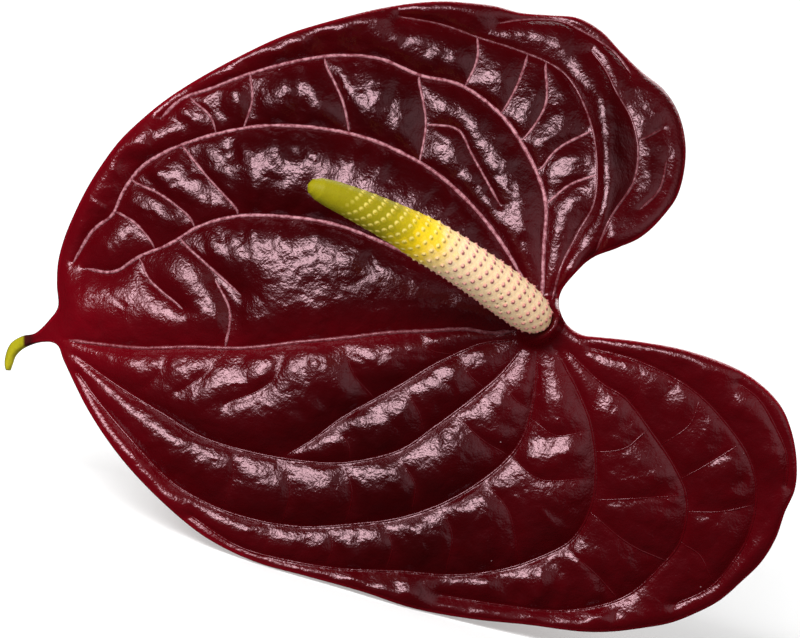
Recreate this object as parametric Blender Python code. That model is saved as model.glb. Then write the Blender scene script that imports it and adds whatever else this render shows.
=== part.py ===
"""Cut anthurium flower at rest on a flat surface.

Three grown pieces: the veined blade with its curled tip and its seat, the
spadix, and the cut stem. The flower stands on two low points of the blade's
margin and on the cut end of the stem, which runs straight back from the blade.
"""

import math

import bmesh
import bpy
import numpy as np
from mathutils import Matrix, Vector, noise
from mathutils.geometry import delaunay_2d_cdt

# Flower frame in millimetres: u to the right, v up the blade, w towards the viewer.
MM = 0.001
LIFT_ANGLE = math.radians(9.695)
ROLL_ANGLE = math.radians(16.7228)
REST_SHIFT = (20.464, -131.314, 54.732)

# Blade.
BLADE_THICKNESS = 1.0
PANEL_RISE = 3.5
LOBE_FLATNESS = 0.4
VEIN_REACH = 2.7
CROSS_REACH = 2.2
UPPER_CROSS_SHARE = 0.72
LOWER_CROSS_SHARE = 0.4
JOIN_REACH = 3.2
RIM_FALL = 1.4
RIM_REACH = 2.4
ROW_STEP = 2.8
FIELD_STEP = 3.1
FINE_STEP = 1.5
FINE_RADIUS = 7.5

# Seat on the front of the blade and boss on its back, both round the node.
SEAT_RADIUS = 3.2
SEAT_FADE = 2.4
BOSS_RADIUS = 3.7
BOSS_FADE = 2.4
BOSS_BACK = -6.0

# Spadix, along a bent line from its foot to its tip.
SPADIX_LINE = [(-0.7, 1.9, 3.3), (-19.0, 17.3, 28.5), (-42.3, 26.1, 40.5)]
SPADIX_RADIUS = [
    (0.0, 2.3), (0.02, 3.2), (0.05, 3.75), (0.1, 4.2), (0.2, 4.4), (0.3, 4.3),
    (0.57, 4.2), (0.68, 3.75), (0.82, 3.2), (0.92, 2.7), (0.965, 2.25), (0.99, 1.45),
    (1.0, 0.4),
]
SPADIX_COLUMNS = 22
FLORET_RISE = 0.5
FLORET_STEP = 1.3
FLORET_TWIST = 0.22

# Stem, from just behind the boss to the slanted cut.
STEM_LINE = [
    (0.0, 0.0, -6.3), (0.1, -0.3, -16.0), (-0.6, -1.2, -60.0), (-2.6, -2.2, -130.0),
    (-3.8, -1.8, -200.0), (-3.0, -0.4, -262.0), (-1.6, 0.6, -304.0),
]
STEM_RADIUS = [(0.0, 3.5), (0.02, 3.35), (0.06, 2.95), (0.4, 3.1), (0.8, 3.5), (1.0, 3.75)]
STEM_SIDES = 18
STEM_ROWS = 26
CUT_SLANT = 0.45

# Outline of the blade with its bent tip, millimetres from the node, seen from the front.
OUTLINE = [
    (-19.1, 59.8), (-14.2, 59.6), (-9, 59), (-4.3, 57.8), (0.9, 57.4), (6.1, 56.9),
    (10.4, 54.5), (13.9, 50.8), (17.6, 47.2), (21.6, 43.9), (24.3, 39.6), (25.6, 32.8),
    (24.1, 24.8), (21.2, 20.7), (17.5, 17.3), (13.1, 15.1), (8.5, 13.3), (5.9, 11),
    (2.9, 7.2), (2.5, 4.9), (3.8, 1.6), (6.5, -0.4), (10.1, -0.9), (15.1, -1.4),
    (25.2, -3.2), (34.7, -6.7), (39.4, -9.9), (42.7, -13.7), (44.6, -18.4), (45.5, -23.9),
    (45.2, -28.4), (43.4, -32.6), (41.8, -37.3), (39.2, -41.6), (35.6, -45.2), (31.7, -48.6),
    (27.4, -50.9), (22.7, -52.7), (17.6, -53.6), (12.4, -54.2), (7, -54.2), (-3.2, -52.9),
    (-13.5, -51.8), (-23.6, -49.9), (-33.1, -46.8), (-42.8, -44.1), (-52.4, -41.4), (-61.4, -36.9),
    (-69.5, -30.2), (-76.5, -22.7), (-82.4, -14.2), (-86.9, -5.2), (-88.2, -2.3), (-91.4, -1.8),
    (-94.9, -2.9), (-96.5, -4.3), (-97.2, -6.1), (-97.6, -7), (-97.9, -6.1), (-97.7, -4.1),
    (-96.7, -2), (-94.5, -0.7), (-92.2, -0.2), (-89.5, 2.3), (-88, 4.5), (-88.2, 8.5),
    (-88, 12.6), (-86.8, 17.1), (-84.8, 21.8), (-82.6, 26.1), (-79.9, 30.4), (-76.7, 34.6),
    (-72.9, 38.3), (-68.9, 41.6), (-64.6, 44.5), (-56, 49.3), (-46.8, 53.6), (-37.4, 56.5),
    (-27.4, 58.9),
]

# Main veins, each run from the node outwards.
MAIN_VEINS = [
    [
        (-4.1, 0.4), (-9.9, -0.2), (-13.7, 0.5), (-21.4, 0.2), (-29, -0.2), (-36.5, -1.1),
        (-44.1, -1.8), (-54.5, -2.9), (-64.1, -2.7), (-72.7, -2.9), (-81.9, -2), (-86.9, -1.3),
    ],
    [
        (-3.8, 2.5), (-18.9, 11.2), (-31.1, 16.9), (-36.9, 19.1), (-44.1, 20.5), (-54.9, 20.9),
        (-62.1, 19.1), (-67.9, 15.7), (-72.9, 13.7), (-77.9, 10.8), (-83, 11.5),
    ],
    [
        (-2.3, 5.8), (-5.9, 13), (-11.7, 21.2), (-18.9, 28.1), (-24.3, 31.5), (-31.5, 34.7),
        (-40.5, 36.7), (-51.3, 37.1), (-62.1, 34.9), (-69.3, 32), (-73.3, 29.2), (-76.5, 24.5),
        (-77.9, 21.2), (-81.5, 18.4), (-85.1, 12.6),
    ],
    [
        (-0.5, 5.8), (-0.2, 14.8), (0.2, 22.9), (-0.9, 27.4), (-4.5, 34.6), (-8.1, 39.4),
        (-15.3, 44.6), (-22.5, 46.3), (-29.7, 49.3), (-36.9, 49.9), (-44.1, 49), (-53.1, 46.6),
        (-60.3, 43.9), (-65.7, 41.9), (-69.3, 38.5),
    ],
    [
        (1.3, 5.8), (2.9, 11.7), (6.3, 18.4), (8.8, 22.9), (9.4, 30.6), (8.3, 37.8),
        (4.9, 45.2), (2, 47.9), (-4.5, 50.8), (-11.7, 53.1), (-18.9, 55.6), (-26.1, 56.9),
    ],
    [
        (8.5, 12.6), (9.7, 15.7), (12.1, 21.1), (16, 27), (16.9, 32.8), (15.7, 38.5),
        (13, 43.2), (11, 47.5), (8.5, 50.8),
    ],
    [
        (15.8, 46.4), (13, 50.2), (9.9, 52.6), (6.3, 54.7), (2.9, 56.2), (-3.1, 56.5),
        (-8.1, 55.8),
    ],
    [
        (-5.9, -1.4), (-11.2, -2), (-15.3, -3.6), (-19.8, -5.8), (-25.9, -9.5), (-31.5, -12.6),
        (-36.9, -15.7), (-41.8, -19.4), (-46.6, -22.3),
    ],
    [
        (-3.6, -2.3), (-7.7, -7.4), (-11.5, -10.8), (-19.8, -17.1), (-26.3, -21.4), (-36.5, -23.6),
        (-44.1, -23.2), (-54, -21.4), (-62.3, -18.7), (-69.1, -14.6), (-77.4, -9.5), (-85.1, -4),
    ],
    [
        (-1.3, -3.6), (-2, -12.2), (-4, -19.1), (-7.7, -23.9), (-16.7, -30.1), (-25.9, -33.5),
        (-35.1, -34.7), (-44.5, -35.1), (-54.5, -33.3), (-61.9, -30.4), (-68, -26.5), (-74.7, -19.4),
        (-80.5, -12.6), (-84.4, -7.2),
    ],
    [
        (2, -3.2), (5.8, -10.4), (8.1, -16.2), (9.2, -23.9), (8.5, -31), (5, -37.4),
        (-0.9, -40.7), (-8.1, -43), (-17.1, -43.9), (-25.9, -43.2), (-36.9, -42.7), (-47.7, -40.9),
        (-55.6, -38.5), (-63.9, -33.1),
    ],
    [
        (3.8, -3.2), (10.4, -9.4), (14.2, -11.7), (19.4, -18.4), (23.4, -24.5), (25.6, -30.1),
        (24.5, -37.8), (20.7, -42.7), (15.7, -47.2), (10.8, -49.3), (2.7, -50.4), (-8.1, -49.3),
        (-18.9, -47.5),
    ],
    [
        (8.1, -2.9), (17.1, -5.4), (26.5, -10.4), (33.1, -17.1), (36.9, -23), (38.2, -29.3),
        (36.9, -36.5), (34.4, -41), (30.1, -46.1), (23.6, -49.3),
    ],
    [
        (35.1, -9.4), (38.5, -12.1), (41.6, -17.3), (43.6, -22.3), (43.6, -27.7),
    ],
]

# Cross veins that divide the panels between the main veins.
CROSS_VEINS = [
    [(-65.3, 33.5), (-61, 28.1), (-55.3, 21.6)],
    [(-74, 27), (-69.3, 24.8), (-63.9, 20.5)],
    [(-77.2, 21.6), (-73.6, 19.4), (-70.7, 15.8)],
    [(-65.3, 16.2), (-61.4, 12.6), (-54.9, 6.8)],
    [(-72.9, 13), (-71.5, 9.7), (-65.3, 4.3)],
    [(-39.6, 48.6), (-36.5, 41.8), (-35.3, 36.2)],
    [(-22.7, 45.9), (-21.4, 37.8), (-22.5, 31)],
    [(-21.4, 37.4), (-15.7, 36.5), (-13.1, 31.9), (-8.1, 22.9)],
    [(-12.1, 52.9), (-12.1, 49.3), (-14.2, 44.6)],
    [(-3.1, 49.7), (-4.9, 44.6), (-7.7, 39.6)],
    [(0.2, 48.2), (0.2, 41), (-4.1, 34.6)],
    [(8.8, 36.4), (2.2, 32.9), (-0.9, 29.2)],
    [(9.4, 28.3), (4.5, 26.5), (0.2, 22.9)],
    [(-57.6, -2.9), (-56.7, 3.6), (-59.4, 9.4)],
    [(-46.8, -2.9), (-49.5, -9.2), (-57.6, -13)],
    [(-57.6, -2.9), (-61.2, -7.7), (-66.1, -10.8)],
    [(-36, -1.8), (-34.7, -7.2), (-31.1, -11.5)],
    [(-22.5, -0.4), (-20.7, -3.2), (-16.7, -4)],
    [(-68.4, -3.2), (-69.3, -7.2), (-72.9, -10.8)],
    [(-25.2, -10.4), (-22.5, -14.9), (-21.8, -18)],
    [(-15.3, -4.3), (-13.5, -7.9), (-11, -10.1)],
    [(-38.7, -17.3), (-35.5, -19.8), (-35.1, -23)],
    [(-36, -24.1), (-34.7, -29.2), (-36, -34.6)],
    [(-27, -22), (-23.4, -27.4), (-23.9, -32.4)],
    [(-16.2, -14.9), (-11.3, -19.4), (-6.7, -22.3)],
    [(-46.8, -23.4), (-45.9, -28.8), (-47.3, -34.2)],
    [(-55.8, -21.6), (-56.3, -26.6), (-58.1, -31.3)],
    [(-7.7, -8.6), (-5.4, -12.2), (-2.3, -14)],
    [(-2.3, -15.8), (2, -18.7), (8.1, -17.6)],
    [(-5.9, -22.7), (-0.9, -26.6), (8.8, -26.3)],
    [(-11, -27), (-6.7, -32), (-4.5, -41.4)],
    [(-18.9, -31.3), (-16.7, -36.7), (-17.8, -43.2)],
    [(-28.8, -34.6), (-27.5, -38.9), (-28.6, -42.5)],
    [(-38.7, -35.3), (-38.3, -38.9), (-39.4, -42.1)],
    [(-49.5, -34.6), (-49.9, -37.4), (-50.9, -39.6)],
    [(9.9, -9.7), (8.5, -14)],
    [(18.5, -17.6), (14.6, -20.9), (9.5, -21.6)],
    [(25, -29.5), (18.2, -29.9), (9.9, -30.2)],
    [(22.1, -41.4), (15.3, -38.3), (8.1, -32.4)],
    [(13.1, -48.2), (9.2, -43.7), (3.8, -38.9)],
    [(17.1, -5.8), (17.1, -10.4), (15.7, -12.6)],
    [(27.9, -11.9), (26.1, -16.7), (21.1, -20.2)],
    [(35.1, -20.2), (30.1, -23.4), (24.3, -26.6)],
    [(38, -31.1), (31.9, -32.4), (25.7, -32.4)],
    [(30.4, -45), (27.9, -40.1), (25, -38.3)],
    [(17.1, 22), (20.7, 25.6), (22.1, 31)],
    [(17.1, 34.6), (21.4, 36.7)],
    [(-53.1, 46.1), (-52.7, 41.8), (-54.2, 37.1)],
    [(-63.9, 42.1), (-60.3, 38.9), (-59.2, 35.6)],
]


def to_flat(points):
    """Turn a list of pairs into an array."""
    return np.array(points, dtype=float)


def through_points(points, step, closed=False):
    """Smooth curve through the points, split into lengths of about one step."""
    pts = to_flat(points)
    count = len(pts)
    spans = count if closed else count - 1
    result = []
    for i in range(spans):
        b = pts[i]
        c = pts[(i + 1) % count]
        if closed:
            a = pts[(i - 1) % count]
            d = pts[(i + 2) % count]
        else:
            a = pts[i - 1] if i > 0 else 2 * b - c
            d = pts[i + 2] if i + 2 < count else 2 * c - b
        ta = 0.0
        tb = ta + math.sqrt(np.linalg.norm(b - a)) + 1e-6
        tc = tb + math.sqrt(np.linalg.norm(c - b)) + 1e-6
        td = tc + math.sqrt(np.linalg.norm(d - c)) + 1e-6
        parts = max(1, int(round(np.linalg.norm(c - b) / step)))
        for k in range(parts):
            t = tb + (tc - tb) * k / parts
            ab = a * (tb - t) / (tb - ta) + b * (t - ta) / (tb - ta)
            bc = b * (tc - t) / (tc - tb) + c * (t - tb) / (tc - tb)
            cd = c * (td - t) / (td - tc) + d * (t - tc) / (td - tc)
            abc = ab * (tc - t) / (tc - ta) + bc * (t - ta) / (tc - ta)
            bcd = bc * (td - t) / (td - tb) + cd * (t - tb) / (td - tb)
            result.append(abc * (tc - t) / (tc - tb) + bcd * (t - tb) / (tc - tb))
    if not closed:
        result.append(pts[-1])
    return np.array(result)


def distance_to(points, line, closed=False):
    """Distance of every point from a line of short straight lengths."""
    start = line
    end = np.roll(line, -1, axis=0)
    if not closed:
        start = line[:-1]
        end = line[1:]
    best = np.full(len(points), 1e9)
    for a, b in zip(start, end):
        run = b - a
        along = (points - a) @ run / max(float(run @ run), 1e-12)
        foot = a + np.clip(along, 0.0, 1.0)[:, None] * run
        best = np.minimum(best, np.linalg.norm(points - foot, axis=1))
    return best


def step_up(value, low, high):
    """Smooth rise from nought to one between two values."""
    t = np.clip((value - low) / (high - low), 0.0, 1.0)
    return t * t * (3.0 - 2.0 * t)


def wavy(points, size, seed):
    """Smooth random height between minus one and one."""
    values = [noise.noise(Vector((p[0] / size, p[1] / size, seed))) for p in points]
    return np.array(values)


def swell(points):
    """Broad form of the blade without its veins: arched, with its lobes and margin falling back."""
    u = points[:, 0]
    v = points[:, 1]
    r2 = u * u + v * v
    height = 1.8 * (1.0 - np.exp(-r2 / 900.0)) - 0.6 * np.exp(-r2 / 150.0)
    height -= 0.0024 * np.maximum(0.0, -(u + 30.0)) ** 2
    height -= 0.0006 * np.maximum(0.0, u + 20.0) ** 2
    height -= 0.0062 * v * v
    a = u / 50.0
    b = v / 50.0
    height += 0.8 * a ** 3 - 1.3 * a * a * b - 5.3 * a * b * b - b ** 3
    height += 1.9 * a * a * b * b + 4.4 * b ** 4
    height -= 0.012 * np.maximum(0.0, u - 9.0) ** 2 * step_up(v, 6.0, 26.0)
    height += 2.2 * np.exp(-(((u - 11.0) / 2.8) ** 2)) * step_up(v, 12.0, 22.0) * step_up(-v, -50.0, -40.0)
    height += 1.1 * np.exp(-(((u - 4.5) / 3.2) ** 2 + ((v - 10.5) / 3.6) ** 2))
    height -= 0.0012 * np.maximum(0.0, -(v + 20.0)) * np.maximum(0.0, -(u + 6.0))
    height -= 0.10 * np.maximum(0.0, -(u + 86.0)) ** 1.7
    height += 0.8 * wavy(points, 21.0, 3.1)
    return height


def panels(points, rim, mains, crosses):
    """Bulging panels between the veins, falling away along the rim."""
    rise = np.ones(len(points))
    for line in mains:
        rise *= 1.0 - np.exp(-distance_to(points, line) / VEIN_REACH)
    for line in crosses:
        share = UPPER_CROSS_SHARE if line[:, 1].mean() > -1.5 else LOWER_CROSS_SHARE
        rise *= 1.0 - share * np.exp(-distance_to(points, line) / CROSS_REACH)
    tail = step_up(points[:, 0], -89.0, -84.0)
    edge = np.maximum(0.0, 1.0 - distance_to(points, rim, closed=True) / RIM_REACH) ** 2
    lobes = step_up(points[:, 0], 2.0, 22.0)
    height = PANEL_RISE * (1.0 - LOBE_FLATNESS * lobes) * rise * tail
    height -= RIM_FALL * edge * tail
    height += 0.28 * wavy(points, 5.2, 8.4) * tail
    return height


def seat_face(points):
    """Height of the slanted seat that carries the spadix."""
    foot = Vector(SPADIX_LINE[0])
    lean = (Vector(SPADIX_LINE[1]) - foot).normalized()
    foot = foot - lean * 0.35
    offset = points - np.array([foot.x, foot.y])
    return foot.z - (offset[:, 0] * lean.x + offset[:, 1] * lean.y) / lean.z


def seat_share(points):
    """One on the seat, falling to nought round it."""
    foot = Vector(SPADIX_LINE[0])
    lean = (Vector(SPADIX_LINE[1]) - foot).normalized()
    du = points[:, 0] - foot.x
    dv = points[:, 1] - foot.y
    out = (du * lean.x + dv * lean.y) / lean.z
    radius = np.sqrt(du * du + dv * dv + out * out)
    return 1.0 - step_up(radius, SEAT_RADIUS, SEAT_RADIUS + SEAT_FADE)


def blade_faces(points, rim, mains, crosses):
    """Front and back points of the blade for flat points inside its outline."""
    broad = swell(points)
    front = broad + panels(points, rim, mains, crosses)
    h = 0.5
    slope_u = (swell(points + [h, 0.0]) - swell(points - [h, 0.0])) / (2.0 * h)
    slope_v = (swell(points + [0.0, h]) - swell(points - [0.0, h])) / (2.0 * h)
    length = np.sqrt(1.0 + slope_u ** 2 + slope_v ** 2)
    back = np.zeros((len(points), 3))
    back[:, 0] = points[:, 0] + BLADE_THICKNESS * slope_u / length
    back[:, 1] = points[:, 1] + BLADE_THICKNESS * slope_v / length
    back[:, 2] = front - BLADE_THICKNESS / length
    radius = np.linalg.norm(points, axis=1)
    boss = 1.0 - step_up(radius, BOSS_RADIUS, BOSS_RADIUS + BOSS_FADE)
    back[:, 2] = back[:, 2] * (1.0 - boss) + BOSS_BACK * boss
    share = seat_share(points)
    front = front * (1.0 - share) + seat_face(points) * share
    return np.column_stack([points, front]), back


def inset(rim, distance):
    """Points just inside a closed outline."""
    along = np.roll(rim, -1, axis=0) - np.roll(rim, 1, axis=0)
    along /= np.linalg.norm(along, axis=1)[:, None]
    inward = np.column_stack([along[:, 1], -along[:, 0]])
    return rim + inward * distance


def beside(line, distance):
    """Points on both sides of an open line."""
    along = np.gradient(line, axis=0)
    along /= np.linalg.norm(along, axis=1)[:, None]
    across = np.column_stack([-along[:, 1], along[:, 0]])
    return np.vstack([line + across * distance, line - across * distance])


def is_inside(points, rim):
    """Which points lie inside a closed outline."""
    inside = np.zeros(len(points), dtype=bool)
    x = points[:, 0]
    y = points[:, 1]
    for a, b in zip(rim, np.roll(rim, -1, axis=0)):
        crosses = (a[1] > y) != (b[1] > y)
        if a[1] != b[1]:
            at = a[0] + (y - a[1]) * (b[0] - a[0]) / (b[1] - a[1])
            inside ^= crosses & (x < at)
    return inside


def joined(line, mains):
    """Cross vein lengthened to the main veins that its ends nearly touch."""
    points = [tuple(p) for p in line]
    places = np.vstack(mains)
    for at_start in (True, False):
        end = points[0] if at_start else points[-1]
        away = np.linalg.norm(places - np.array(end), axis=1)
        if 0.3 < away.min() < JOIN_REACH:
            nearest = tuple(places[away.argmin()])
            points = [nearest] + points if at_start else points + [nearest]
    return points


def keep_apart(groups):
    """Collect points group by group, leaving out those too near earlier ones."""
    kept = []
    cells = {}
    for points, gap in groups:
        for p in points:
            key = (int(math.floor(p[0] / 3.0)), int(math.floor(p[1] / 3.0)))
            near = False
            for i in (-1, 0, 1):
                for j in (-1, 0, 1):
                    for q in cells.get((key[0] + i, key[1] + j), ()):
                        if (p[0] - q[0]) ** 2 + (p[1] - q[1]) ** 2 < gap * gap:
                            near = True
            if not near:
                kept.append((float(p[0]), float(p[1])))
                cells.setdefault(key, []).append(p)
    return kept


def grid_points(step, low, high):
    """Even triangular grid of points over a rectangle."""
    rows = []
    count_v = int((high[1] - low[1]) / (step * 0.866)) + 1
    count_u = int((high[0] - low[0]) / step) + 1
    for j in range(count_v):
        for i in range(count_u):
            rows.append((low[0] + (i + 0.5 * (j % 2)) * step, low[1] + j * step * 0.866))
    return np.array(rows)


def blade_mesh():
    """Points and triangles of the whole blade as one closed body."""
    rim = through_points(OUTLINE, ROW_STEP, closed=True)
    mains = [through_points(line, ROW_STEP) for line in MAIN_VEINS]
    smooth_rim = through_points(OUTLINE, 1.0, closed=True)
    smooth_mains = [through_points(line, 1.0) for line in MAIN_VEINS]
    twigs = [joined(line, smooth_mains) for line in CROSS_VEINS]
    crosses = [through_points(line, ROW_STEP) for line in twigs]
    smooth_crosses = [through_points(line, 1.0) for line in twigs]

    near_node = grid_points(FINE_STEP, (-FINE_RADIUS, -FINE_RADIUS), (FINE_RADIUS, FINE_RADIUS))
    near_node = near_node[np.linalg.norm(near_node, axis=1) < FINE_RADIUS]
    field = grid_points(FIELD_STEP, (-100.0, -56.0), (47.0, 61.0))
    field = field[np.linalg.norm(field, axis=1) > FINE_RADIUS]
    inner = [near_node, inset(rim, 1.7)]
    gaps = [1.15, 1.25]
    inner += mains
    gaps += [1.35] * len(mains)
    inner += [beside(line, 1.5) for line in mains]
    gaps += [1.3] * len(mains)
    inner += crosses
    gaps += [1.5] * len(crosses)
    inner.append(field)
    gaps.append(2.0)
    groups = [(rim, 0.05)]
    for points, gap in zip(inner, gaps):
        points = points[is_inside(points, rim)]
        away = distance_to(points, rim, closed=True)
        groups.append((points[away > min(gap, 1.2)], gap))
    flat = keep_apart(groups)

    loop = [(i, (i + 1) % len(rim)) for i in range(len(rim))]
    cut = delaunay_2d_cdt([Vector(p) for p in flat], loop, [], 1, 1e-5)
    points = np.array([(p.x, p.y) for p in cut[0]])
    triangles = [tuple(face) for face in cut[2]]
    turned = []
    for a, b, c in triangles:
        ab = points[b] - points[a]
        ac = points[c] - points[a]
        if ab[0] * ac[1] - ab[1] * ac[0] > 0:
            turned.append((a, b, c))
        else:
            turned.append((a, c, b))
    front, back = blade_faces(points, smooth_rim, smooth_mains, smooth_crosses)
    return close_sheet(front, back, turned)


def close_sheet(front, back, triangles):
    """Join two matching faces with a band along their common border."""
    count = len(front)
    faces = list(triangles)
    faces += [(a + count, c + count, b + count) for a, b, c in triangles]
    open_edges = set()
    for a, b, c in triangles:
        for edge in ((a, b), (b, c), (c, a)):
            if (edge[1], edge[0]) in open_edges:
                open_edges.remove((edge[1], edge[0]))
            else:
                open_edges.add(edge)
    for a, b in sorted(open_edges):
        faces.append((b, a, a + count))
        faces.append((b, a + count, b + count))
    return np.vstack([front, back]), faces


def along_profile(profile, t):
    """Read a list of pairs at one value between nought and one."""
    return float(np.interp(t, [p[0] for p in profile], [p[1] for p in profile]))


def sweep_frames(line):
    """Steady cross directions along a line of points in space."""
    ahead = np.gradient(line, axis=0)
    ahead /= np.linalg.norm(ahead, axis=1)[:, None]
    side = np.cross(ahead[0], [0.0, 0.0, 1.0])
    if np.linalg.norm(side) < 0.1:
        side = np.cross(ahead[0], [0.0, 1.0, 0.0])
    side /= np.linalg.norm(side)
    frames = []
    for direction in ahead:
        side = side - direction * float(side @ direction)
        side /= np.linalg.norm(side)
        frames.append((side.copy(), np.cross(direction, side)))
    return frames


def tube_faces(rows, columns, low_at_even):
    """Triangles round a tube, each square split between its two chosen corners."""
    faces = []
    for j in range(rows - 1):
        for i in range(columns):
            k = (i + 1) % columns
            a = j * columns + i
            b = j * columns + k
            c = (j + 1) * columns + k
            d = (j + 1) * columns + i
            if ((i + j) % 2 == 0) == low_at_even:
                faces.append((a, b, c))
                faces.append((a, c, d))
            else:
                faces.append((a, b, d))
                faces.append((b, c, d))
    return faces


def close_ends(points, faces, rows, columns, first, last):
    """Close a tube with a fan of triangles at each end."""
    points = list(points) + [first, last]
    foot = len(points) - 2
    tip = len(points) - 1
    for i in range(columns):
        k = (i + 1) % columns
        faces.append((k, i, foot))
        faces.append(((rows - 1) * columns + i, (rows - 1) * columns + k, tip))
    return np.array(points), faces


def bent_line(t):
    """Point of the spadix axis between foot and tip."""
    a, b, c = (np.array(p) for p in SPADIX_LINE)
    return a * (1 - t) ** 2 + b * 2 * t * (1 - t) + c * t * t


def spadix_mesh():
    """Tapered spadix set all over with small raised florets."""
    samples = np.array([bent_line(t) for t in np.linspace(0.0, 1.0, 400)])
    lengths = np.concatenate([[0.0], np.cumsum(np.linalg.norm(np.diff(samples, axis=0), axis=1))])
    total = lengths[-1]
    places = [0.0]
    while places[-1] < total:
        share = places[-1] / total
        radius = along_profile(SPADIX_RADIUS, share)
        step = FLORET_STEP * 2.0 * math.pi * max(radius, 2.6) / SPADIX_COLUMNS
        if share > 0.955 or share < 0.05:
            step *= 0.7
        places.append(places[-1] + step)
    places = np.array(places) * total / places[-1]
    line = np.column_stack([np.interp(places, lengths, samples[:, k]) for k in range(3)])
    frames = sweep_frames(line)
    points = []
    for j, (centre, (side, up)) in enumerate(zip(line, frames)):
        share = places[j] / total
        radius = along_profile(SPADIX_RADIUS, share)
        rise = FLORET_RISE * min(1.0, radius / 3.5)
        if j == 0:
            rise = 0.0
        for i in range(SPADIX_COLUMNS):
            angle = 2.0 * math.pi * (i + FLORET_TWIST * j) / SPADIX_COLUMNS
            level = radius if (i + j) % 2 == 0 else radius - rise
            points.append(centre + level * (math.cos(angle) * side + math.sin(angle) * up))
    rows = len(line)
    faces = tube_faces(rows, SPADIX_COLUMNS, False)
    return close_ends(points, faces, rows, SPADIX_COLUMNS, line[0], line[-1])


def stem_mesh():
    """Long round stem, a little swollen under the flower and slanted at the cut."""
    smooth = through_points(STEM_LINE, 2.0)
    lengths = np.concatenate([[0.0], np.cumsum(np.linalg.norm(np.diff(smooth, axis=0), axis=1))])
    total = lengths[-1]
    shares = np.linspace(0.0, 1.0, STEM_ROWS)
    shares = np.unique(np.concatenate([shares, [0.012, 0.025, 0.06]]))
    line = np.column_stack([np.interp(shares * total, lengths, smooth[:, k]) for k in range(3)])
    frames = sweep_frames(line)
    ahead = line[-1] - line[-2]
    ahead /= np.linalg.norm(ahead)
    points = []
    for j, (centre, (side, up)) in enumerate(zip(line, frames)):
        radius = along_profile(STEM_RADIUS, shares[j])
        for i in range(STEM_SIDES):
            angle = 2.0 * math.pi * i / STEM_SIDES
            place = centre + radius * (math.cos(angle) * side + math.sin(angle) * up)
            if j == len(line) - 1:
                place = place + ahead * radius * CUT_SLANT * math.cos(angle)
            points.append(place)
    rows = len(line)
    faces = tube_faces(rows, STEM_SIDES, True)
    return close_ends(points, faces, rows, STEM_SIDES, line[0], line[-1])


def make_object(name, points, faces, material, parent):
    """Named object from points in millimetres, smooth shaded, held by the parent."""
    mesh = bpy.data.meshes.new(name)
    mesh.from_pydata([tuple(float(c) * MM for c in p) for p in points], [], faces)
    mesh.update()
    tidy = bmesh.new()
    tidy.from_mesh(mesh)
    bmesh.ops.recalc_face_normals(tidy, faces=tidy.faces)
    tidy.to_mesh(mesh)
    tidy.free()
    mesh.shade_smooth()
    mesh.materials.append(material)
    thing = bpy.data.objects.new(name, mesh)
    bpy.context.scene.collection.objects.link(thing)
    thing.parent = parent
    return thing


def plain_material(name, colour, roughness, coat):
    """Principled material with a plain colour."""
    material = bpy.data.materials.new(name)
    material.use_nodes = True
    shader = material.node_tree.nodes["Principled BSDF"]
    shader.inputs["Base Color"].default_value = (colour[0], colour[1], colour[2], 1.0)
    shader.inputs["Roughness"].default_value = roughness
    shader.inputs["Coat Weight"].default_value = coat
    return material


def blade_material():
    """Waxy dark burgundy."""
    return plain_material("spathe_burgundy", (0.085, 0.001, 0.004), 0.3, 0.5)


def spadix_material():
    """Cream florets."""
    return plain_material("spadix_cream", (0.86, 0.66, 0.3), 0.5, 0.1)


def stem_material():
    """Fresh green stem."""
    return plain_material("stem_green", (0.09, 0.19, 0.04), 0.4, 0.2)


def rest_frame():
    """Empty that leans and rolls the flower into its resting place."""
    holder = bpy.data.objects.new("rest_frame", None)
    bpy.context.scene.collection.objects.link(holder)
    rise = Vector((0.0, math.sin(LIFT_ANGLE), math.cos(LIFT_ANGLE)))
    right = Vector((1.0, 0.0, 0.0))
    u = right * math.cos(ROLL_ANGLE) + rise * math.sin(ROLL_ANGLE)
    v = rise * math.cos(ROLL_ANGLE) - right * math.sin(ROLL_ANGLE)
    w = Vector((0.0, -math.cos(LIFT_ANGLE), math.sin(LIFT_ANGLE)))
    turn = Matrix((u, v, w)).transposed()
    holder.rotation_mode = "QUATERNION"
    holder.rotation_quaternion = turn.to_quaternion()
    holder.location = Vector(REST_SHIFT) * MM
    return holder


def clear_scene():
    """Remove whatever the scene holds."""
    for thing in list(bpy.data.objects):
        bpy.data.objects.remove(thing, do_unlink=True)


def main():
    clear_scene()
    holder = rest_frame()
    points, faces = blade_mesh()
    make_object("spathe", points, faces, blade_material(), holder)
    points, faces = spadix_mesh()
    make_object("spadix", points, faces, spadix_material(), holder)
    points, faces = stem_mesh()
    make_object("stem", points, faces, stem_material(), holder)
    bpy.context.view_layer.update()


main()
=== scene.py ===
"""Looks of the cut anthurium flower: fine veined blade, florets, stem and studio."""

import math
import random

import bpy
import numpy as np
from mathutils import Matrix, Vector, noise
from mathutils.geometry import delaunay_2d_cdt


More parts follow.
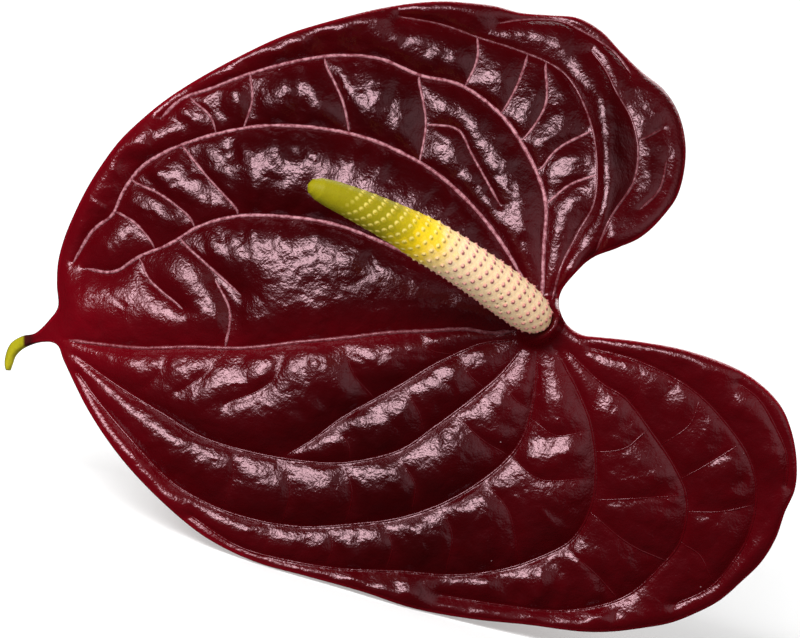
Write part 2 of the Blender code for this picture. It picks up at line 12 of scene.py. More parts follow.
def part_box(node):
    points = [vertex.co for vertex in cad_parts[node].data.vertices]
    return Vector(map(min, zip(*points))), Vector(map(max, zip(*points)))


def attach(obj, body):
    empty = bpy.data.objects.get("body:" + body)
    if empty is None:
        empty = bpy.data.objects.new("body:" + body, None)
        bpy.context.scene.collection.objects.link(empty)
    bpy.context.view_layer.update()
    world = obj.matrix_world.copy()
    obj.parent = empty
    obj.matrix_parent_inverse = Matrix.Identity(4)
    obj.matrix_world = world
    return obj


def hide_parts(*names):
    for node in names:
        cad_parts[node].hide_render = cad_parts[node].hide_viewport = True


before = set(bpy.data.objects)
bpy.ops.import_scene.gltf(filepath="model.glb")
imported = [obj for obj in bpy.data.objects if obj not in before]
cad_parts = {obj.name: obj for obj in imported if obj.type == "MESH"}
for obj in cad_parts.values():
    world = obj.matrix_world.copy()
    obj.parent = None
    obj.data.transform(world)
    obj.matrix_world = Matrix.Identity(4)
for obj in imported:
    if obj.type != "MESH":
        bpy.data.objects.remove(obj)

# Flower frame in millimetres: u to the right, v up the blade, w towards the viewer.
MM = 0.001
LIFT_ANGLE = math.radians(9.695)
ROLL_ANGLE = math.radians(16.7228)
REST_SHIFT = (20.464, -131.314, 54.732)

# Blade, as in the solids.
BLADE_THICKNESS = 1.0
PANEL_RISE = 3.5
LOBE_FLATNESS = 0.4
VEIN_REACH = 2.7
CROSS_REACH = 2.2
UPPER_CROSS_SHARE = 0.72
LOWER_CROSS_SHARE = 0.4
JOIN_REACH = 3.2
RIM_FALL = 1.4
RIM_REACH = 2.4
SEAT_RADIUS = 3.2
SEAT_FADE = 2.4
BOSS_RADIUS = 3.7
BOSS_FADE = 2.4
BOSS_BACK = -6.0
SINUS = (4.5, 10.5)
TAIL_ROOT = -86.0

# Broad form of the blade, as in the solids: millimetres, and falls per millimetre squared.
CENTRE_RISE = 1.8
CENTRE_SPREAD = 30.0
NODE_DIP = 0.6
NODE_DIP_SPREAD = math.sqrt(150.0)
TIP_FALL = 0.0024
TIP_FALL_START = -30.0
LOBE_FALL = 0.0006
LOBE_FALL_START = -20.0
SIDE_FALL = 0.0062
HALF_SPAN = 50.0
SADDLE_CUBIC = (0.8, -1.3, -5.3, -1.0)
SADDLE_QUARTIC = (1.9, 4.4)
UPPER_LOBE_FALL = 0.012
UPPER_LOBE_START = 9.0
FOLD_RISE = 2.2
FOLD_PLACE = 11.0
FOLD_WIDTH = 2.8
SINUS_RISE = 1.1
SINUS_WIDTH = (3.2, 3.6)
LOWER_EDGE_FALL = 0.0012
TAIL_FALL = 0.10
TAIL_CURL = 1.7
WAVE_RISE = 0.8
WAVE_SIZE = 21.0

# Finer forms of the blade, on top of the solids.
FRONT_STEP = 0.42
BACK_STEP = 0.8
RIM_STEP = 0.5
VEIN_STEP = 0.5
VEIN_BED = 0.12
RIB_RISE = 0.26
RIB_PITCH = 3.3
RIB_LENGTH = 14.0
RIB_REACH = 5.0
RIBBED_GAIN = 1.3
DIMPLE_RISE = 0.22
DIMPLE_SIZE = 5.2
NET_DEPTH = 0.12
NET_CELL = 5.2
CRINKLE_RISE = 0.09
CRINKLE_SIZE = 1.5
EDGE_ROUND = 0.55

# Raised cords along the veins: half widths at both ends and how far they stand out.
UPPER_CORD = (0.40, 0.32, 0.03)
LOWER_CORD = (0.28, 0.22, -0.12)
UPPER_TWIG = (0.29, 0.23, 0.0)
LOWER_TWIG = (0.17, 0.13, -0.06)
CORD_SIDES = 8
CORD_START = 5.0
CORD_CLEAR = 0.9
CORD_UNEVEN = 0.35
CORD_UNEVEN_SIZE = 1.7
MIDRIB_HEIGHT = -1.5
FAINT_MAINS = (0, 4, 5, 6)
THIN_MAINS = (4, 5, 6)
# How pale the cords are painted: partly the veins' own lighter colour, partly a painted highlight.
FAINT_PALE_HIGHLIGHT = 0.3
TWIG_PALE_HIGHLIGHT = 0.75
LOBE_TWIG_PALE_HIGHLIGHT = 0.1875
LOBE_START = 12.0

# Spadix.
SPADIX_LINE = [(-0.7, 1.9, 3.3), (-19.0, 17.3, 28.5), (-42.3, 26.1, 40.5)]
SPADIX_RADIUS = [
    (0.0, 2.3), (0.02, 3.2), (0.05, 3.75), (0.1, 4.2), (0.2, 4.4), (0.3, 4.3),
    (0.57, 4.2), (0.68, 3.75), (0.82, 3.2), (0.92, 2.7), (0.965, 2.25), (0.99, 1.45),
    (1.0, 0.4),
]
FLORET_PITCH = 0.13
FLORET_TURN = 1.1892
FLORET_POINT = 0.36
FLORET_POINT_HALF = 0.26
FLORET_WINDOW = 2.4
GROOVE_DEPTH = 0.07
GROOVE_WIDTH = 0.3
PIT_DEPTH = 0.3
PIT_WIDTH = 0.2
PIT_CHANCE = 0.16
PITS_END = 0.42
FLECK_WIDTH = 0.44
# Painted shadow beside each floret's point: its width and offset.
FLORET_SHADOW_WIDTH = 0.36
FLORET_SHADOW_PLACE = (-0.2, -0.12)
CREAM_END = (0.52, 0.66)
SMOOTH_TIP = (0.80, 0.92)
SPADIX_SKIN = 0.2
SPADIX_ROW_STEP = 0.2
SPADIX_COLUMNS = 160

# Stem.
STEM_LINE = [
    (0.0, 0.0, -6.3), (0.1, -0.3, -16.0), (-0.6, -1.2, -60.0), (-2.6, -2.2, -130.0),
    (-3.8, -1.8, -200.0), (-3.0, -0.4, -262.0), (-1.6, 0.6, -304.0),
]
STEM_RADIUS = [(0.0, 3.5), (0.02, 3.35), (0.06, 2.95), (0.4, 3.1), (0.8, 3.5), (1.0, 3.75)]
STEM_SIDES = 72
STEM_ROWS = 420
STEM_SKIN = 0.1
STEM_RIBS = 9.0
STEM_RIB_RISE = 0.05
CUT_SLANT = 0.45

# Camera: the photo is 800 by 638 pixels and shows 0.18 mm of the blade's plane in each.
PHOTO_WIDTH = 800
PHOTO_HEIGHT = 638
MM_PER_PIXEL = 0.18
NODE_PIXEL = (545, 332)
CAMERA_DISTANCE = 2600.0
SENSOR_WIDTH = 36.0
FARTHEST_SEEN = 30.0

# Lights, each with its direction in the flower frame, its distance and size in metres, and
# how bright it looks, one being white. The wider one behind the key softens the key's edge.
KEY = {"towards": (-0.25, 0.46, 0.853), "distance": 2.0, "size": (1.2, 0.56), "radiance": 16.5}
KEY_EDGE = {"towards": (-0.25, 0.46, 0.853), "distance": 2.02, "size": (2.0, 1.05), "radiance": 5.0}
SIDE = {"towards": (0.82, 0.14, 0.55), "distance": 0.5, "size": (0.8, 0.8), "radiance": 1.05}
SIDE_SPREAD = math.radians(76.0)
REAR = {"towards": (0.3, 0.6, -0.75), "distance": 2.0, "size": (1.6, 1.6), "radiance": 3.0}
WORLD_DIFFUSE = 0.5
WORLD_GLOSS = 0.002
BLADE_MIDDLE = Vector((-20.0, 0.0, 0.0))

# Floor.
FLOOR_HALF = 6.0
FLOOR_DROP = 0.0002
FLOOR_GREY = 0.86
FLOOR_ROUGHNESS = 0.9

# Outline of the blade with its bent tip, millimetres from the node, seen from the front.
OUTLINE = [
    (-19.1, 59.8), (-14.2, 59.6), (-9, 59), (-4.3, 57.8), (0.9, 57.4), (6.1, 56.9),
    (10.4, 54.5), (13.9, 50.8), (17.6, 47.2), (21.6, 43.9), (24.3, 39.6), (25.6, 32.8),
    (24.1, 24.8), (21.2, 20.7), (17.5, 17.3), (13.1, 15.1), (8.5, 13.3), (5.9, 11),
    (2.9, 7.2), (2.5, 4.9), (3.8, 1.6), (6.5, -0.4), (10.1, -0.9), (15.1, -1.4),
    (25.2, -3.2), (34.7, -6.7), (39.4, -9.9), (42.7, -13.7), (44.6, -18.4), (45.5, -23.9),
    (45.2, -28.4), (43.4, -32.6), (41.8, -37.3), (39.2, -41.6), (35.6, -45.2), (31.7, -48.6),
    (27.4, -50.9), (22.7, -52.7), (17.6, -53.6), (12.4, -54.2), (7, -54.2), (-3.2, -52.9),
    (-13.5, -51.8), (-23.6, -49.9), (-33.1, -46.8), (-42.8, -44.1), (-52.4, -41.4), (-61.4, -36.9),
    (-69.5, -30.2), (-76.5, -22.7), (-82.4, -14.2), (-86.9, -5.2), (-88.2, -2.3), (-91.4, -1.8),
    (-94.9, -2.9), (-96.5, -4.3), (-97.2, -6.1), (-97.6, -7), (-97.9, -6.1), (-97.7, -4.1),
    (-96.7, -2), (-94.5, -0.7), (-92.2, -0.2), (-89.5, 2.3), (-88, 4.5), (-88.2, 8.5),
    (-88, 12.6), (-86.8, 17.1), (-84.8, 21.8), (-82.6, 26.1), (-79.9, 30.4), (-76.7, 34.6),
    (-72.9, 38.3), (-68.9, 41.6), (-64.6, 44.5), (-56, 49.3), (-46.8, 53.6), (-37.4, 56.5),
    (-27.4, 58.9),
]

# Main veins, each run from the node outwards.
MAIN_VEINS = [
    [
        (-4.1, 0.4), (-9.9, -0.2), (-13.7, 0.5), (-21.4, 0.2), (-29, -0.2), (-36.5, -1.1),
        (-44.1, -1.8), (-54.5, -2.9), (-64.1, -2.7), (-72.7, -2.9), (-81.9, -2), (-86.9, -1.3),
    ],
    [
        (-3.8, 2.5), (-18.9, 11.2), (-31.1, 16.9), (-36.9, 19.1), (-44.1, 20.5), (-54.9, 20.9),
        (-62.1, 19.1), (-67.9, 15.7), (-72.9, 13.7), (-77.9, 10.8), (-83, 11.5),
    ],
    [
        (-2.3, 5.8), (-5.9, 13), (-11.7, 21.2), (-18.9, 28.1), (-24.3, 31.5), (-31.5, 34.7),
        (-40.5, 36.7), (-51.3, 37.1), (-62.1, 34.9), (-69.3, 32), (-73.3, 29.2), (-76.5, 24.5),
        (-77.9, 21.2), (-81.5, 18.4), (-85.1, 12.6),
    ],
    [
        (-0.5, 5.8), (-0.2, 14.8), (0.2, 22.9), (-0.9, 27.4), (-4.5, 34.6), (-8.1, 39.4),
        (-15.3, 44.6), (-22.5, 46.3), (-29.7, 49.3), (-36.9, 49.9), (-44.1, 49), (-53.1, 46.6),
        (-60.3, 43.9), (-65.7, 41.9), (-69.3, 38.5),
    ],
    [
        (1.3, 5.8), (2.9, 11.7), (6.3, 18.4), (8.8, 22.9), (9.4, 30.6), (8.3, 37.8),
        (4.9, 45.2), (2, 47.9), (-4.5, 50.8), (-11.7, 53.1), (-18.9, 55.6), (-26.1, 56.9),
    ],
    [
        (8.5, 12.6), (9.7, 15.7), (12.1, 21.1), (16, 27), (16.9, 32.8), (15.7, 38.5),
        (13, 43.2), (11, 47.5), (8.5, 50.8),
    ],
    [
        (15.8, 46.4), (13, 50.2), (9.9, 52.6), (6.3, 54.7), (2.9, 56.2), (-3.1, 56.5),
        (-8.1, 55.8),
    ],
    [
        (-5.9, -1.4), (-11.2, -2), (-15.3, -3.6), (-19.8, -5.8), (-25.9, -9.5), (-31.5, -12.6),
        (-36.9, -15.7), (-41.8, -19.4), (-46.6, -22.3),
    ],
    [
        (-3.6, -2.3), (-7.7, -7.4), (-11.5, -10.8), (-19.8, -17.1), (-26.3, -21.4), (-36.5, -23.6),
        (-44.1, -23.2), (-54, -21.4), (-62.3, -18.7), (-69.1, -14.6), (-77.4, -9.5), (-85.1, -4),
    ],
    [
        (-1.3, -3.6), (-2, -12.2), (-4, -19.1), (-7.7, -23.9), (-16.7, -30.1), (-25.9, -33.5),
        (-35.1, -34.7), (-44.5, -35.1), (-54.5, -33.3), (-61.9, -30.4), (-68, -26.5),
        (-74.7, -19.4), (-80.5, -12.6), (-84.4, -7.2),
    ],
    [
        (2, -3.2), (5.8, -10.4), (8.1, -16.2), (9.2, -23.9), (8.5, -31), (5, -37.4),
        (-0.9, -40.7), (-8.1, -43), (-17.1, -43.9), (-25.9, -43.2), (-36.9, -42.7), (-47.7, -40.9),
        (-55.6, -38.5), (-63.9, -33.1),
    ],
    [
        (3.8, -3.2), (10.4, -9.4), (14.2, -11.7), (19.4, -18.4), (23.4, -24.5), (25.6, -30.1),
        (24.5, -37.8), (20.7, -42.7), (15.7, -47.2), (10.8, -49.3), (2.7, -50.4), (-8.1, -49.3),
        (-18.9, -47.5),
    ],
    [
        (8.1, -2.9), (17.1, -5.4), (26.5, -10.4), (33.1, -17.1), (36.9, -23), (38.2, -29.3),
        (36.9, -36.5), (34.4, -41), (30.1, -46.1), (23.6, -49.3),
    ],
    [
        (35.1, -9.4), (38.5, -12.1), (41.6, -17.3), (43.6, -22.3), (43.6, -27.7),
    ],
]

# Cross veins that divide the panels between the main veins.
CROSS_VEINS = [
    [(-65.3, 33.5), (-61, 28.1), (-55.3, 21.6)],
    [(-74, 27), (-69.3, 24.8), (-63.9, 20.5)],
    [(-77.2, 21.6), (-73.6, 19.4), (-70.7, 15.8)],
    [(-65.3, 16.2), (-61.4, 12.6), (-54.9, 6.8)],
    [(-72.9, 13), (-71.5, 9.7), (-65.3, 4.3)],
    [(-39.6, 48.6), (-36.5, 41.8), (-35.3, 36.2)],
    [(-22.7, 45.9), (-21.4, 37.8), (-22.5, 31)],
    [(-21.4, 37.4), (-15.7, 36.5), (-13.1, 31.9), (-8.1, 22.9)],
    [(-12.1, 52.9), (-12.1, 49.3), (-14.2, 44.6)],
    [(-3.1, 49.7), (-4.9, 44.6), (-7.7, 39.6)],
    [(0.2, 48.2), (0.2, 41), (-4.1, 34.6)],
    [(8.8, 36.4), (2.2, 32.9), (-0.9, 29.2)],
    [(9.4, 28.3), (4.5, 26.5), (0.2, 22.9)],
    [(-57.6, -2.9), (-56.7, 3.6), (-59.4, 9.4)],
    [(-46.8, -2.9), (-49.5, -9.2), (-57.6, -13)],
    [(-57.6, -2.9), (-61.2, -7.7), (-66.1, -10.8)],
    [(-36, -1.8), (-34.7, -7.2), (-31.1, -11.5)],
    [(-22.5, -0.4), (-20.7, -3.2), (-16.7, -4)],
    [(-68.4, -3.2), (-69.3, -7.2), (-72.9, -10.8)],
    [(-25.2, -10.4), (-22.5, -14.9), (-21.8, -18)],
    [(-15.3, -4.3), (-13.5, -7.9), (-11, -10.1)],
    [(-38.7, -17.3), (-35.5, -19.8), (-35.1, -23)],
    [(-36, -24.1), (-34.7, -29.2), (-36, -34.6)],
    [(-27, -22), (-23.4, -27.4), (-23.9, -32.4)],
    [(-16.2, -14.9), (-11.3, -19.4), (-6.7, -22.3)],
    [(-46.8, -23.4), (-45.9, -28.8), (-47.3, -34.2)],
    [(-55.8, -21.6), (-56.3, -26.6), (-58.1, -31.3)],
    [(-7.7, -8.6), (-5.4, -12.2), (-2.3, -14)],
    [(-2.3, -15.8), (2, -18.7), (8.1, -17.6)],
    [(-5.9, -22.7), (-0.9, -26.6), (8.8, -26.3)],
    [(-11, -27), (-6.7, -32), (-4.5, -41.4)],
    [(-18.9, -31.3), (-16.7, -36.7), (-17.8, -43.2)],
    [(-28.8, -34.6), (-27.5, -38.9), (-28.6, -42.5)],
    [(-38.7, -35.3), (-38.3, -38.9), (-39.4, -42.1)],
    [(-49.5, -34.6), (-49.9, -37.4), (-50.9, -39.6)],
    [(9.9, -9.7), (8.5, -14)],
    [(18.5, -17.6), (14.6, -20.9), (9.5, -21.6)],
    [(25, -29.5), (18.2, -29.9), (9.9, -30.2)],
    [(22.1, -41.4), (15.3, -38.3), (8.1, -32.4)],
    [(13.1, -48.2), (9.2, -43.7), (3.8, -38.9)],
    [(17.1, -5.8), (17.1, -10.4), (15.7, -12.6)],
    [(27.9, -11.9), (26.1, -16.7), (21.1, -20.2)],
    [(35.1, -20.2), (30.1, -23.4), (24.3, -26.6)],
    [(38, -31.1), (31.9, -32.4), (25.7, -32.4)],
    [(30.4, -45), (27.9, -40.1), (25, -38.3)],
    [(17.1, 22), (20.7, 25.6), (22.1, 31)],
    [(17.1, 34.6), (21.4, 36.7)],
    [(-53.1, 46.1), (-52.7, 41.8), (-54.2, 37.1)],
    [(-63.9, 42.1), (-60.3, 38.9), (-59.2, 35.6)],
]


def to_flat(points):
    """Turn a list of tuples into an array."""
    return np.array(points, dtype=float)


def through_points(points, step, closed=False):
    """Smooth curve through the points, split into lengths of about one step."""
    pts = to_flat(points)
    count = len(pts)
    spans = count if closed else count - 1
    result = []
    for i in range(spans):
        b = pts[i]
        c = pts[(i + 1) % count]
        if closed:
            a = pts[(i - 1) % count]
            d = pts[(i + 2) % count]
        else:
            a = pts[i - 1] if i > 0 else 2 * b - c
            d = pts[i + 2] if i + 2 < count else 2 * c - b
        ta = 0.0
        tb = ta + math.sqrt(np.linalg.norm(b - a)) + 1e-6
        tc = tb + math.sqrt(np.linalg.norm(c - b)) + 1e-6
        td = tc + math.sqrt(np.linalg.norm(d - c)) + 1e-6
        parts = max(1, int(round(np.linalg.norm(c - b) / step)))
        for k in range(parts):
            t = tb + (tc - tb) * k / parts
            ab = a * (tb - t) / (tb - ta) + b * (t - ta) / (tb - ta)
            bc = b * (tc - t) / (tc - tb) + c * (t - tb) / (tc - tb)
            cd = c * (td - t) / (td - tc) + d * (t - tc) / (td - tc)
            abc = ab * (tc - t) / (tc - ta) + bc * (t - ta) / (tc - ta)
            bcd = bc * (td - t) / (td - tb) + cd * (t - tb) / (td - tb)
            result.append(abc * (tc - t) / (tc - tb) + bcd * (t - tb) / (tc - tb))
    if not closed:
        result.append(pts[-1])
    return np.array(result)


def near_line(points, line, closed=False):
    """Distance of every point from a line, and how far along it the nearest place is."""
    ends = np.roll(line, -1, axis=0)
    starts = line
    if not closed:
        starts = line[:-1]
        ends = line[1:]
    best = np.full(len(points), 1e9)
    place = np.zeros(len(points))
    walked = 0.0
    for a, b in zip(starts, ends):
        run = b - a
        length = math.hypot(run[0], run[1])
        share = np.clip((points - a) @ run / max(length * length, 1e-12), 0.0, 1.0)
        away = np.hypot(points[:, 0] - a[0] - share * run[0], points[:, 1] - a[1] - share * run[1])
        closer = away < best
        best[closer] = away[closer]
        place[closer] = walked + share[closer] * length
        walked += length
    return best, place


def step_up(value, low, high):
    """Smooth rise from nought to one between two values."""
    t = np.clip((value - low) / (high - low), 0.0, 1.0)
    return t * t * (3.0 - 2.0 * t)


def wavy(points, size, seed):
    """Smooth random height between minus one and one."""
    values = [noise.noise(Vector((p[0] / size, p[1] / size, seed))) for p in points]
    return np.array(values)


def crinkled(points, size, seed):
    """Random height with small folds in it."""
    values = [
        noise.fractal(Vector((p[0] / size, p[1] / size, seed)), 0.9, 2.1, 3) for p in points
    ]
    return np.array(values)


def cell_net(points, size, seed):
    """Nought on the lines of an irregular net, rising to one inside its cells."""
    values = []
    for p in points:
        near = noise.voronoi(Vector((p[0] / size, p[1] / size, seed)))[0]
        values.append(near[1] - near[0])
    return 1.0 - np.exp(-np.array(values) / 0.16)


def swell(points):
    """Broad form of the blade without its veins: arched, with its lobes and margin falling back."""
    u = points[:, 0]
    v = points[:, 1]
    r2 = u * u + v * v
    height = CENTRE_RISE * (1.0 - np.exp(-r2 / CENTRE_SPREAD ** 2))
    height -= NODE_DIP * np.exp(-r2 / NODE_DIP_SPREAD ** 2)
    height -= TIP_FALL * np.maximum(0.0, TIP_FALL_START - u) ** 2
    height -= LOBE_FALL * np.maximum(0.0, u - LOBE_FALL_START) ** 2
    height -= SIDE_FALL * v * v
    a = u / HALF_SPAN
    b = v / HALF_SPAN
    for factor, form in zip(SADDLE_CUBIC, (a ** 3, a * a * b, a * b * b, b ** 3)):
        height += factor * form
    for factor, form in zip(SADDLE_QUARTIC, (a * a * b * b, b ** 4)):
        height += factor * form
    height -= UPPER_LOBE_FALL * np.maximum(0.0, u - UPPER_LOBE_START) ** 2 * step_up(v, 6.0, 26.0)
    fold = np.exp(-(((u - FOLD_PLACE) / FOLD_WIDTH) ** 2))
    height += FOLD_RISE * fold * step_up(v, 12.0, 22.0) * step_up(-v, -50.0, -40.0)
    across = (u - SINUS[0]) / SINUS_WIDTH[0]
    down = (v - SINUS[1]) / SINUS_WIDTH[1]
    height += SINUS_RISE * np.exp(-(across ** 2 + down ** 2))
    height -= LOWER_EDGE_FALL * np.maximum(0.0, -(v + 20.0)) * np.maximum(0.0, -(u + 6.0))
    height -= TAIL_FALL * np.maximum(0.0, TAIL_ROOT - u) ** TAIL_CURL
    height += WAVE_RISE * wavy(points, WAVE_SIZE, 3.1)
    return height


def painted_glow(points, edge, mid):
    """Share of painted glow, brighter red painted where the blade looks lit: along the margin, at
    the tip, beside the midrib and at the node.
    """
    u = points[:, 0]
    left = step_up(-u, 30.0, 80.0)
    margin = np.exp(-edge / 4.0) * (0.25 + 0.6 * left)
    tip = np.exp(-np.hypot(u + 85.0, points[:, 1] - 1.0) / 13.0)
    beside_mid = 0.6 * np.exp(-mid / 3.5) * step_up(-u, 5.0, 30.0)
    node = 0.55 * np.exp(-np.linalg.norm(points, axis=1) / 9.0)
    lobe = 0.22 * step_up(u, -25.0, 15.0) * step_up(-points[:, 1], -2.0, 8.0)
    dark = (1.0 - margin) * (1.0 - tip) * (1.0 - beside_mid) * (1.0 - node) * (1.0 - lobe)
    return np.clip(1.0 - dark, 0.0, 1.0)


def vein_lay(points, rim, mains, crosses):
    """Fine relief of the front and the masks that colour it."""
    rise = np.ones(len(points))
    bed = np.zeros(len(points))
    nearest = np.full(len(points), 1e9)
    ribs = np.zeros(len(points))
    weight = np.full(len(points), 1e-6)
    mid = None
    for k, line in enumerate(mains):
        away, along = near_line(points, line)
        if mid is None:
            mid = away
        rise *= 1.0 - np.exp(-np.maximum(0.0, away - 0.2) / VEIN_REACH)
        bed = np.maximum(bed, np.exp(-((away / 0.5) ** 2)))
        nearest = np.minimum(nearest, away)
        share = np.exp(-((away / RIB_REACH) ** 2))
        close = share > 0.02
        across = np.zeros(len(points))
        across[close] = [
            noise.noise(Vector((a / RIB_PITCH, d / RIB_LENGTH, 7.7 * k)))
            for a, d in zip(along[close], away[close])
        ]
        ribs += share * across
        weight += share
    for line in crosses:
        away, _ = near_line(points, line)
        share = UPPER_CROSS_SHARE if line[:, 1].mean() > MIDRIB_HEIGHT else LOWER_CROSS_SHARE
        rise *= 1.0 - share * np.exp(-np.maximum(0.0, away - 0.15) / CROSS_REACH)
        nearest = np.minimum(nearest, away + 0.6)
    tail = step_up(points[:, 0], -89.0, -84.0)
    edge, _ = near_line(points, rim, closed=True)
    inner = step_up(edge, 0.6, 3.0) * tail
    node = step_up(np.linalg.norm(points, axis=1), 5.0, 11.0)
    bulge = step_up(rise, 0.05, 0.5) * inner * node
    lobes = step_up(points[:, 0], 2.0, 22.0)
    height = PANEL_RISE * (1.0 - LOBE_FLATNESS * lobes) * rise * tail
    height -= RIM_FALL * np.maximum(0.0, 1.0 - edge / RIM_REACH) ** 2 * tail
    height += DIMPLE_RISE * wavy(points, DIMPLE_SIZE, 8.4) * tail
    height -= VEIN_BED * bed * tail
    ribbed = step_up(points[:, 1], 12.0, 24.0) * step_up(-points[:, 0], 15.0, 40.0)
    ribbed = np.maximum(ribbed, step_up(-points[:, 1], 36.0, 44.0))
    ribs = ribs / np.maximum(weight, 0.35) * (1.0 + RIBBED_GAIN * ribbed)
    height += 2.0 * RIB_RISE * ribs * bulge
    height -= NET_DEPTH * (1.0 - cell_net(points, NET_CELL, 2.6)) * bulge
    height += CRINKLE_RISE * crinkled(points, CRINKLE_SIZE, 5.5) * inner
    masks = {
        "vein": np.zeros(len(points)),
        # Near the veins: painted glow on the front, paler vein colour on the back.
        "vein_glow_and_tint": np.exp(-nearest / 1.3) * tail,
        "rim": np.exp(-edge / 0.45),
        # Painted glow: brighter red where the front looks lit.
        "painted_glow": painted_glow(points, edge, mid),
        "tail": 1.0 - step_up(points[:, 0], -96.5, -91.5),
        "sinus": np.exp(-np.hypot(points[:, 0] - 4.5, points[:, 1] - 10.0) / 4.0),
    }
    return height, edge, masks


def seat_face(points):
    """Height of the slanted seat that carries the spadix."""
    foot = Vector(SPADIX_LINE[0])
    lean = (Vector(SPADIX_LINE[1]) - foot).normalized()
    foot = foot - lean * 0.35
    offset = points - np.array([foot.x, foot.y])
    return foot.z - (offset[:, 0] * lean.x + offset[:, 1] * lean.y) / lean.z


def seat_share(points):
    """One on the seat, falling to nought round it."""
    foot = Vector(SPADIX_LINE[0])
    lean = (Vector(SPADIX_LINE[1]) - foot).normalized()
    du = points[:, 0] - foot.x
    dv = points[:, 1] - foot.y
    out = (du * lean.x + dv * lean.y) / lean.z
    radius = np.sqrt(du * du + dv * dv + out * out)
    return 1.0 - step_up(radius, SEAT_RADIUS, SEAT_RADIUS + SEAT_FADE)


def blade_faces(points, rim, mains, crosses):
    """Front and back points of the blade, and the masks for its colours."""
    relief, edge, masks = vein_lay(points, rim, mains, crosses)
    front = swell(points) + relief
    h = 0.5
    slope_u = (swell(points + [h, 0.0]) - swell(points - [h, 0.0])) / (2.0 * h)
    slope_v = (swell(points + [0.0, h]) - swell(points - [0.0, h])) / (2.0 * h)
    length = np.sqrt(1.0 + slope_u ** 2 + slope_v ** 2)
    inward = np.clip(edge / EDGE_ROUND, 0.0, 1.0)
    pinch = 0.42 * BLADE_THICKNESS * (1.0 - np.sqrt(1.0 - (1.0 - inward) ** 2))
    back = np.zeros((len(points), 3))
    back[:, 0] = points[:, 0] + BLADE_THICKNESS * slope_u / length
    back[:, 1] = points[:, 1] + BLADE_THICKNESS * slope_v / length
    back[:, 2] = front - BLADE_THICKNESS / length + pinch
    front = front - pinch
    radius = np.linalg.norm(points, axis=1)
    boss = 1.0 - step_up(radius, BOSS_RADIUS, BOSS_RADIUS + BOSS_FADE)
    back[:, 2] = back[:, 2] * (1.0 - boss) + BOSS_BACK * boss
    share = seat_share(points)
    front = front * (1.0 - share) + seat_face(points) * share
    return np.column_stack([points, front]), back, masks


def inset(rim, distance):
    """Points just inside a closed outline."""
    along = np.roll(rim, -1, axis=0) - np.roll(rim, 1, axis=0)
    along /= np.linalg.norm(along, axis=1)[:, None]
    inward = np.column_stack([along[:, 1], -along[:, 0]])
    return rim + inward * distance


def beside(line, distance):
    """Points on both sides of an open line."""
    along = np.gradient(line, axis=0)
    along /= np.linalg.norm(along, axis=1)[:, None]
    across = np.column_stack([-along[:, 1], along[:, 0]])
    return np.vstack([line + across * distance, line - across * distance])


def is_inside(points, rim):
    """Which points lie inside a closed outline."""
    inside = np.zeros(len(points), dtype=bool)
    x = points[:, 0]
    y = points[:, 1]
    for a, b in zip(rim, np.roll(rim, -1, axis=0)):
        if a[1] != b[1]:
            crosses = (a[1] > y) != (b[1] > y)
            at = a[0] + (y - a[1]) * (b[0] - a[0]) / (b[1] - a[1])
            inside ^= crosses & (x < at)
    return inside


def joined(line, mains):
    """Cross vein lengthened to the main veins that its ends nearly touch."""
    points = [tuple(p) for p in line]
    places = np.vstack(mains)
    for at_start in (True, False):
        end = points[0] if at_start else points[-1]
        away = np.linalg.norm(places - np.array(end), axis=1)
        if 0.3 < away.min() < JOIN_REACH:
            nearest = tuple(places[away.argmin()])
            points = [nearest] + points if at_start else points + [nearest]
    return points


def keep_apart(groups, cell):
    """Collect points group by group, leaving out those too near earlier ones."""
    kept = []
    cells = {}
    around = [(i, j) for i in (-1, 0, 1) for j in (-1, 0, 1)]
    for points, gap in groups:
        gap2 = gap * gap
        for x, y in points.tolist():
            i = int(math.floor(x / cell))
            j = int(math.floor(y / cell))
            near = False
            for di, dj in around:
                for qx, qy in cells.get((i + di, j + dj), ()):
                    if (x - qx) ** 2 + (y - qy) ** 2 < gap2:
                        near = True
                        break
                if near:
                    break
            if not near:
                kept.append((x, y))
                cells.setdefault((i, j), []).append((x, y))
    return kept


def grid_points(step, low, high):
    """Even triangular grid of points over a rectangle."""
    rows = []
    count_v = int((high[1] - low[1]) / (step * 0.866)) + 1
    count_u = int((high[0] - low[0]) / step) + 1
    for j in range(count_v):
        for i in range(count_u):
            rows.append((low[0] + (i + 0.5 * (j % 2)) * step, low[1] + j * step * 0.866))
    return np.array(rows)


def flat_sheet(rim, rings, lines, step, gap):
    """Points and triangles that fill the outline; the outline's points keep their order."""
    chosen = [(rim, 0.01)]
    groups = [(inset(rim, distance), 0.8 * distance) for distance in rings]
    groups += lines
    groups.append((grid_points(step, (-100.0, -56.0), (47.0, 61.0)), gap))
    for points, apart in groups:
        points = points[is_inside(points, rim)]
        away, _ = near_line(points, rim, closed=True)
        chosen.append((points[away > min(0.1, apart)], apart))
    flat = keep_apart(chosen, 0.9)
    loop = [(i, (i + 1) % len(rim)) for i in range(len(rim))]
    cut = delaunay_2d_cdt([Vector(p) for p in flat], loop, [], 1, 1e-5)
    points = np.array([(p.x, p.y) for p in cut[0]])
    border = np.zeros(len(rim), dtype=int)
    for k, sources in enumerate(cut[3]):
        for source in sources:
            if source < len(rim):
                border[source] = k
    corners = np.array([tuple(face) for face in cut[2]])
    ab = points[corners[:, 1]] - points[corners[:, 0]]
    ac = points[corners[:, 2]] - points[corners[:, 0]]
    turned = ab[:, 0] * ac[:, 1] - ab[:, 1] * ac[:, 0] < 0
    corners[turned] = corners[turned][:, [0, 2, 1]]
    return points, corners, border


def blade_lines():
    """Outline and veins as smooth lines."""
    rim = inset(through_points(OUTLINE, RIM_STEP, closed=True), 0.03)
    mains = [through_points(line, VEIN_STEP) for line in MAIN_VEINS]
    crosses = [through_points(joined(line, mains), VEIN_STEP) for line in CROSS_VEINS]
    return rim, mains, crosses


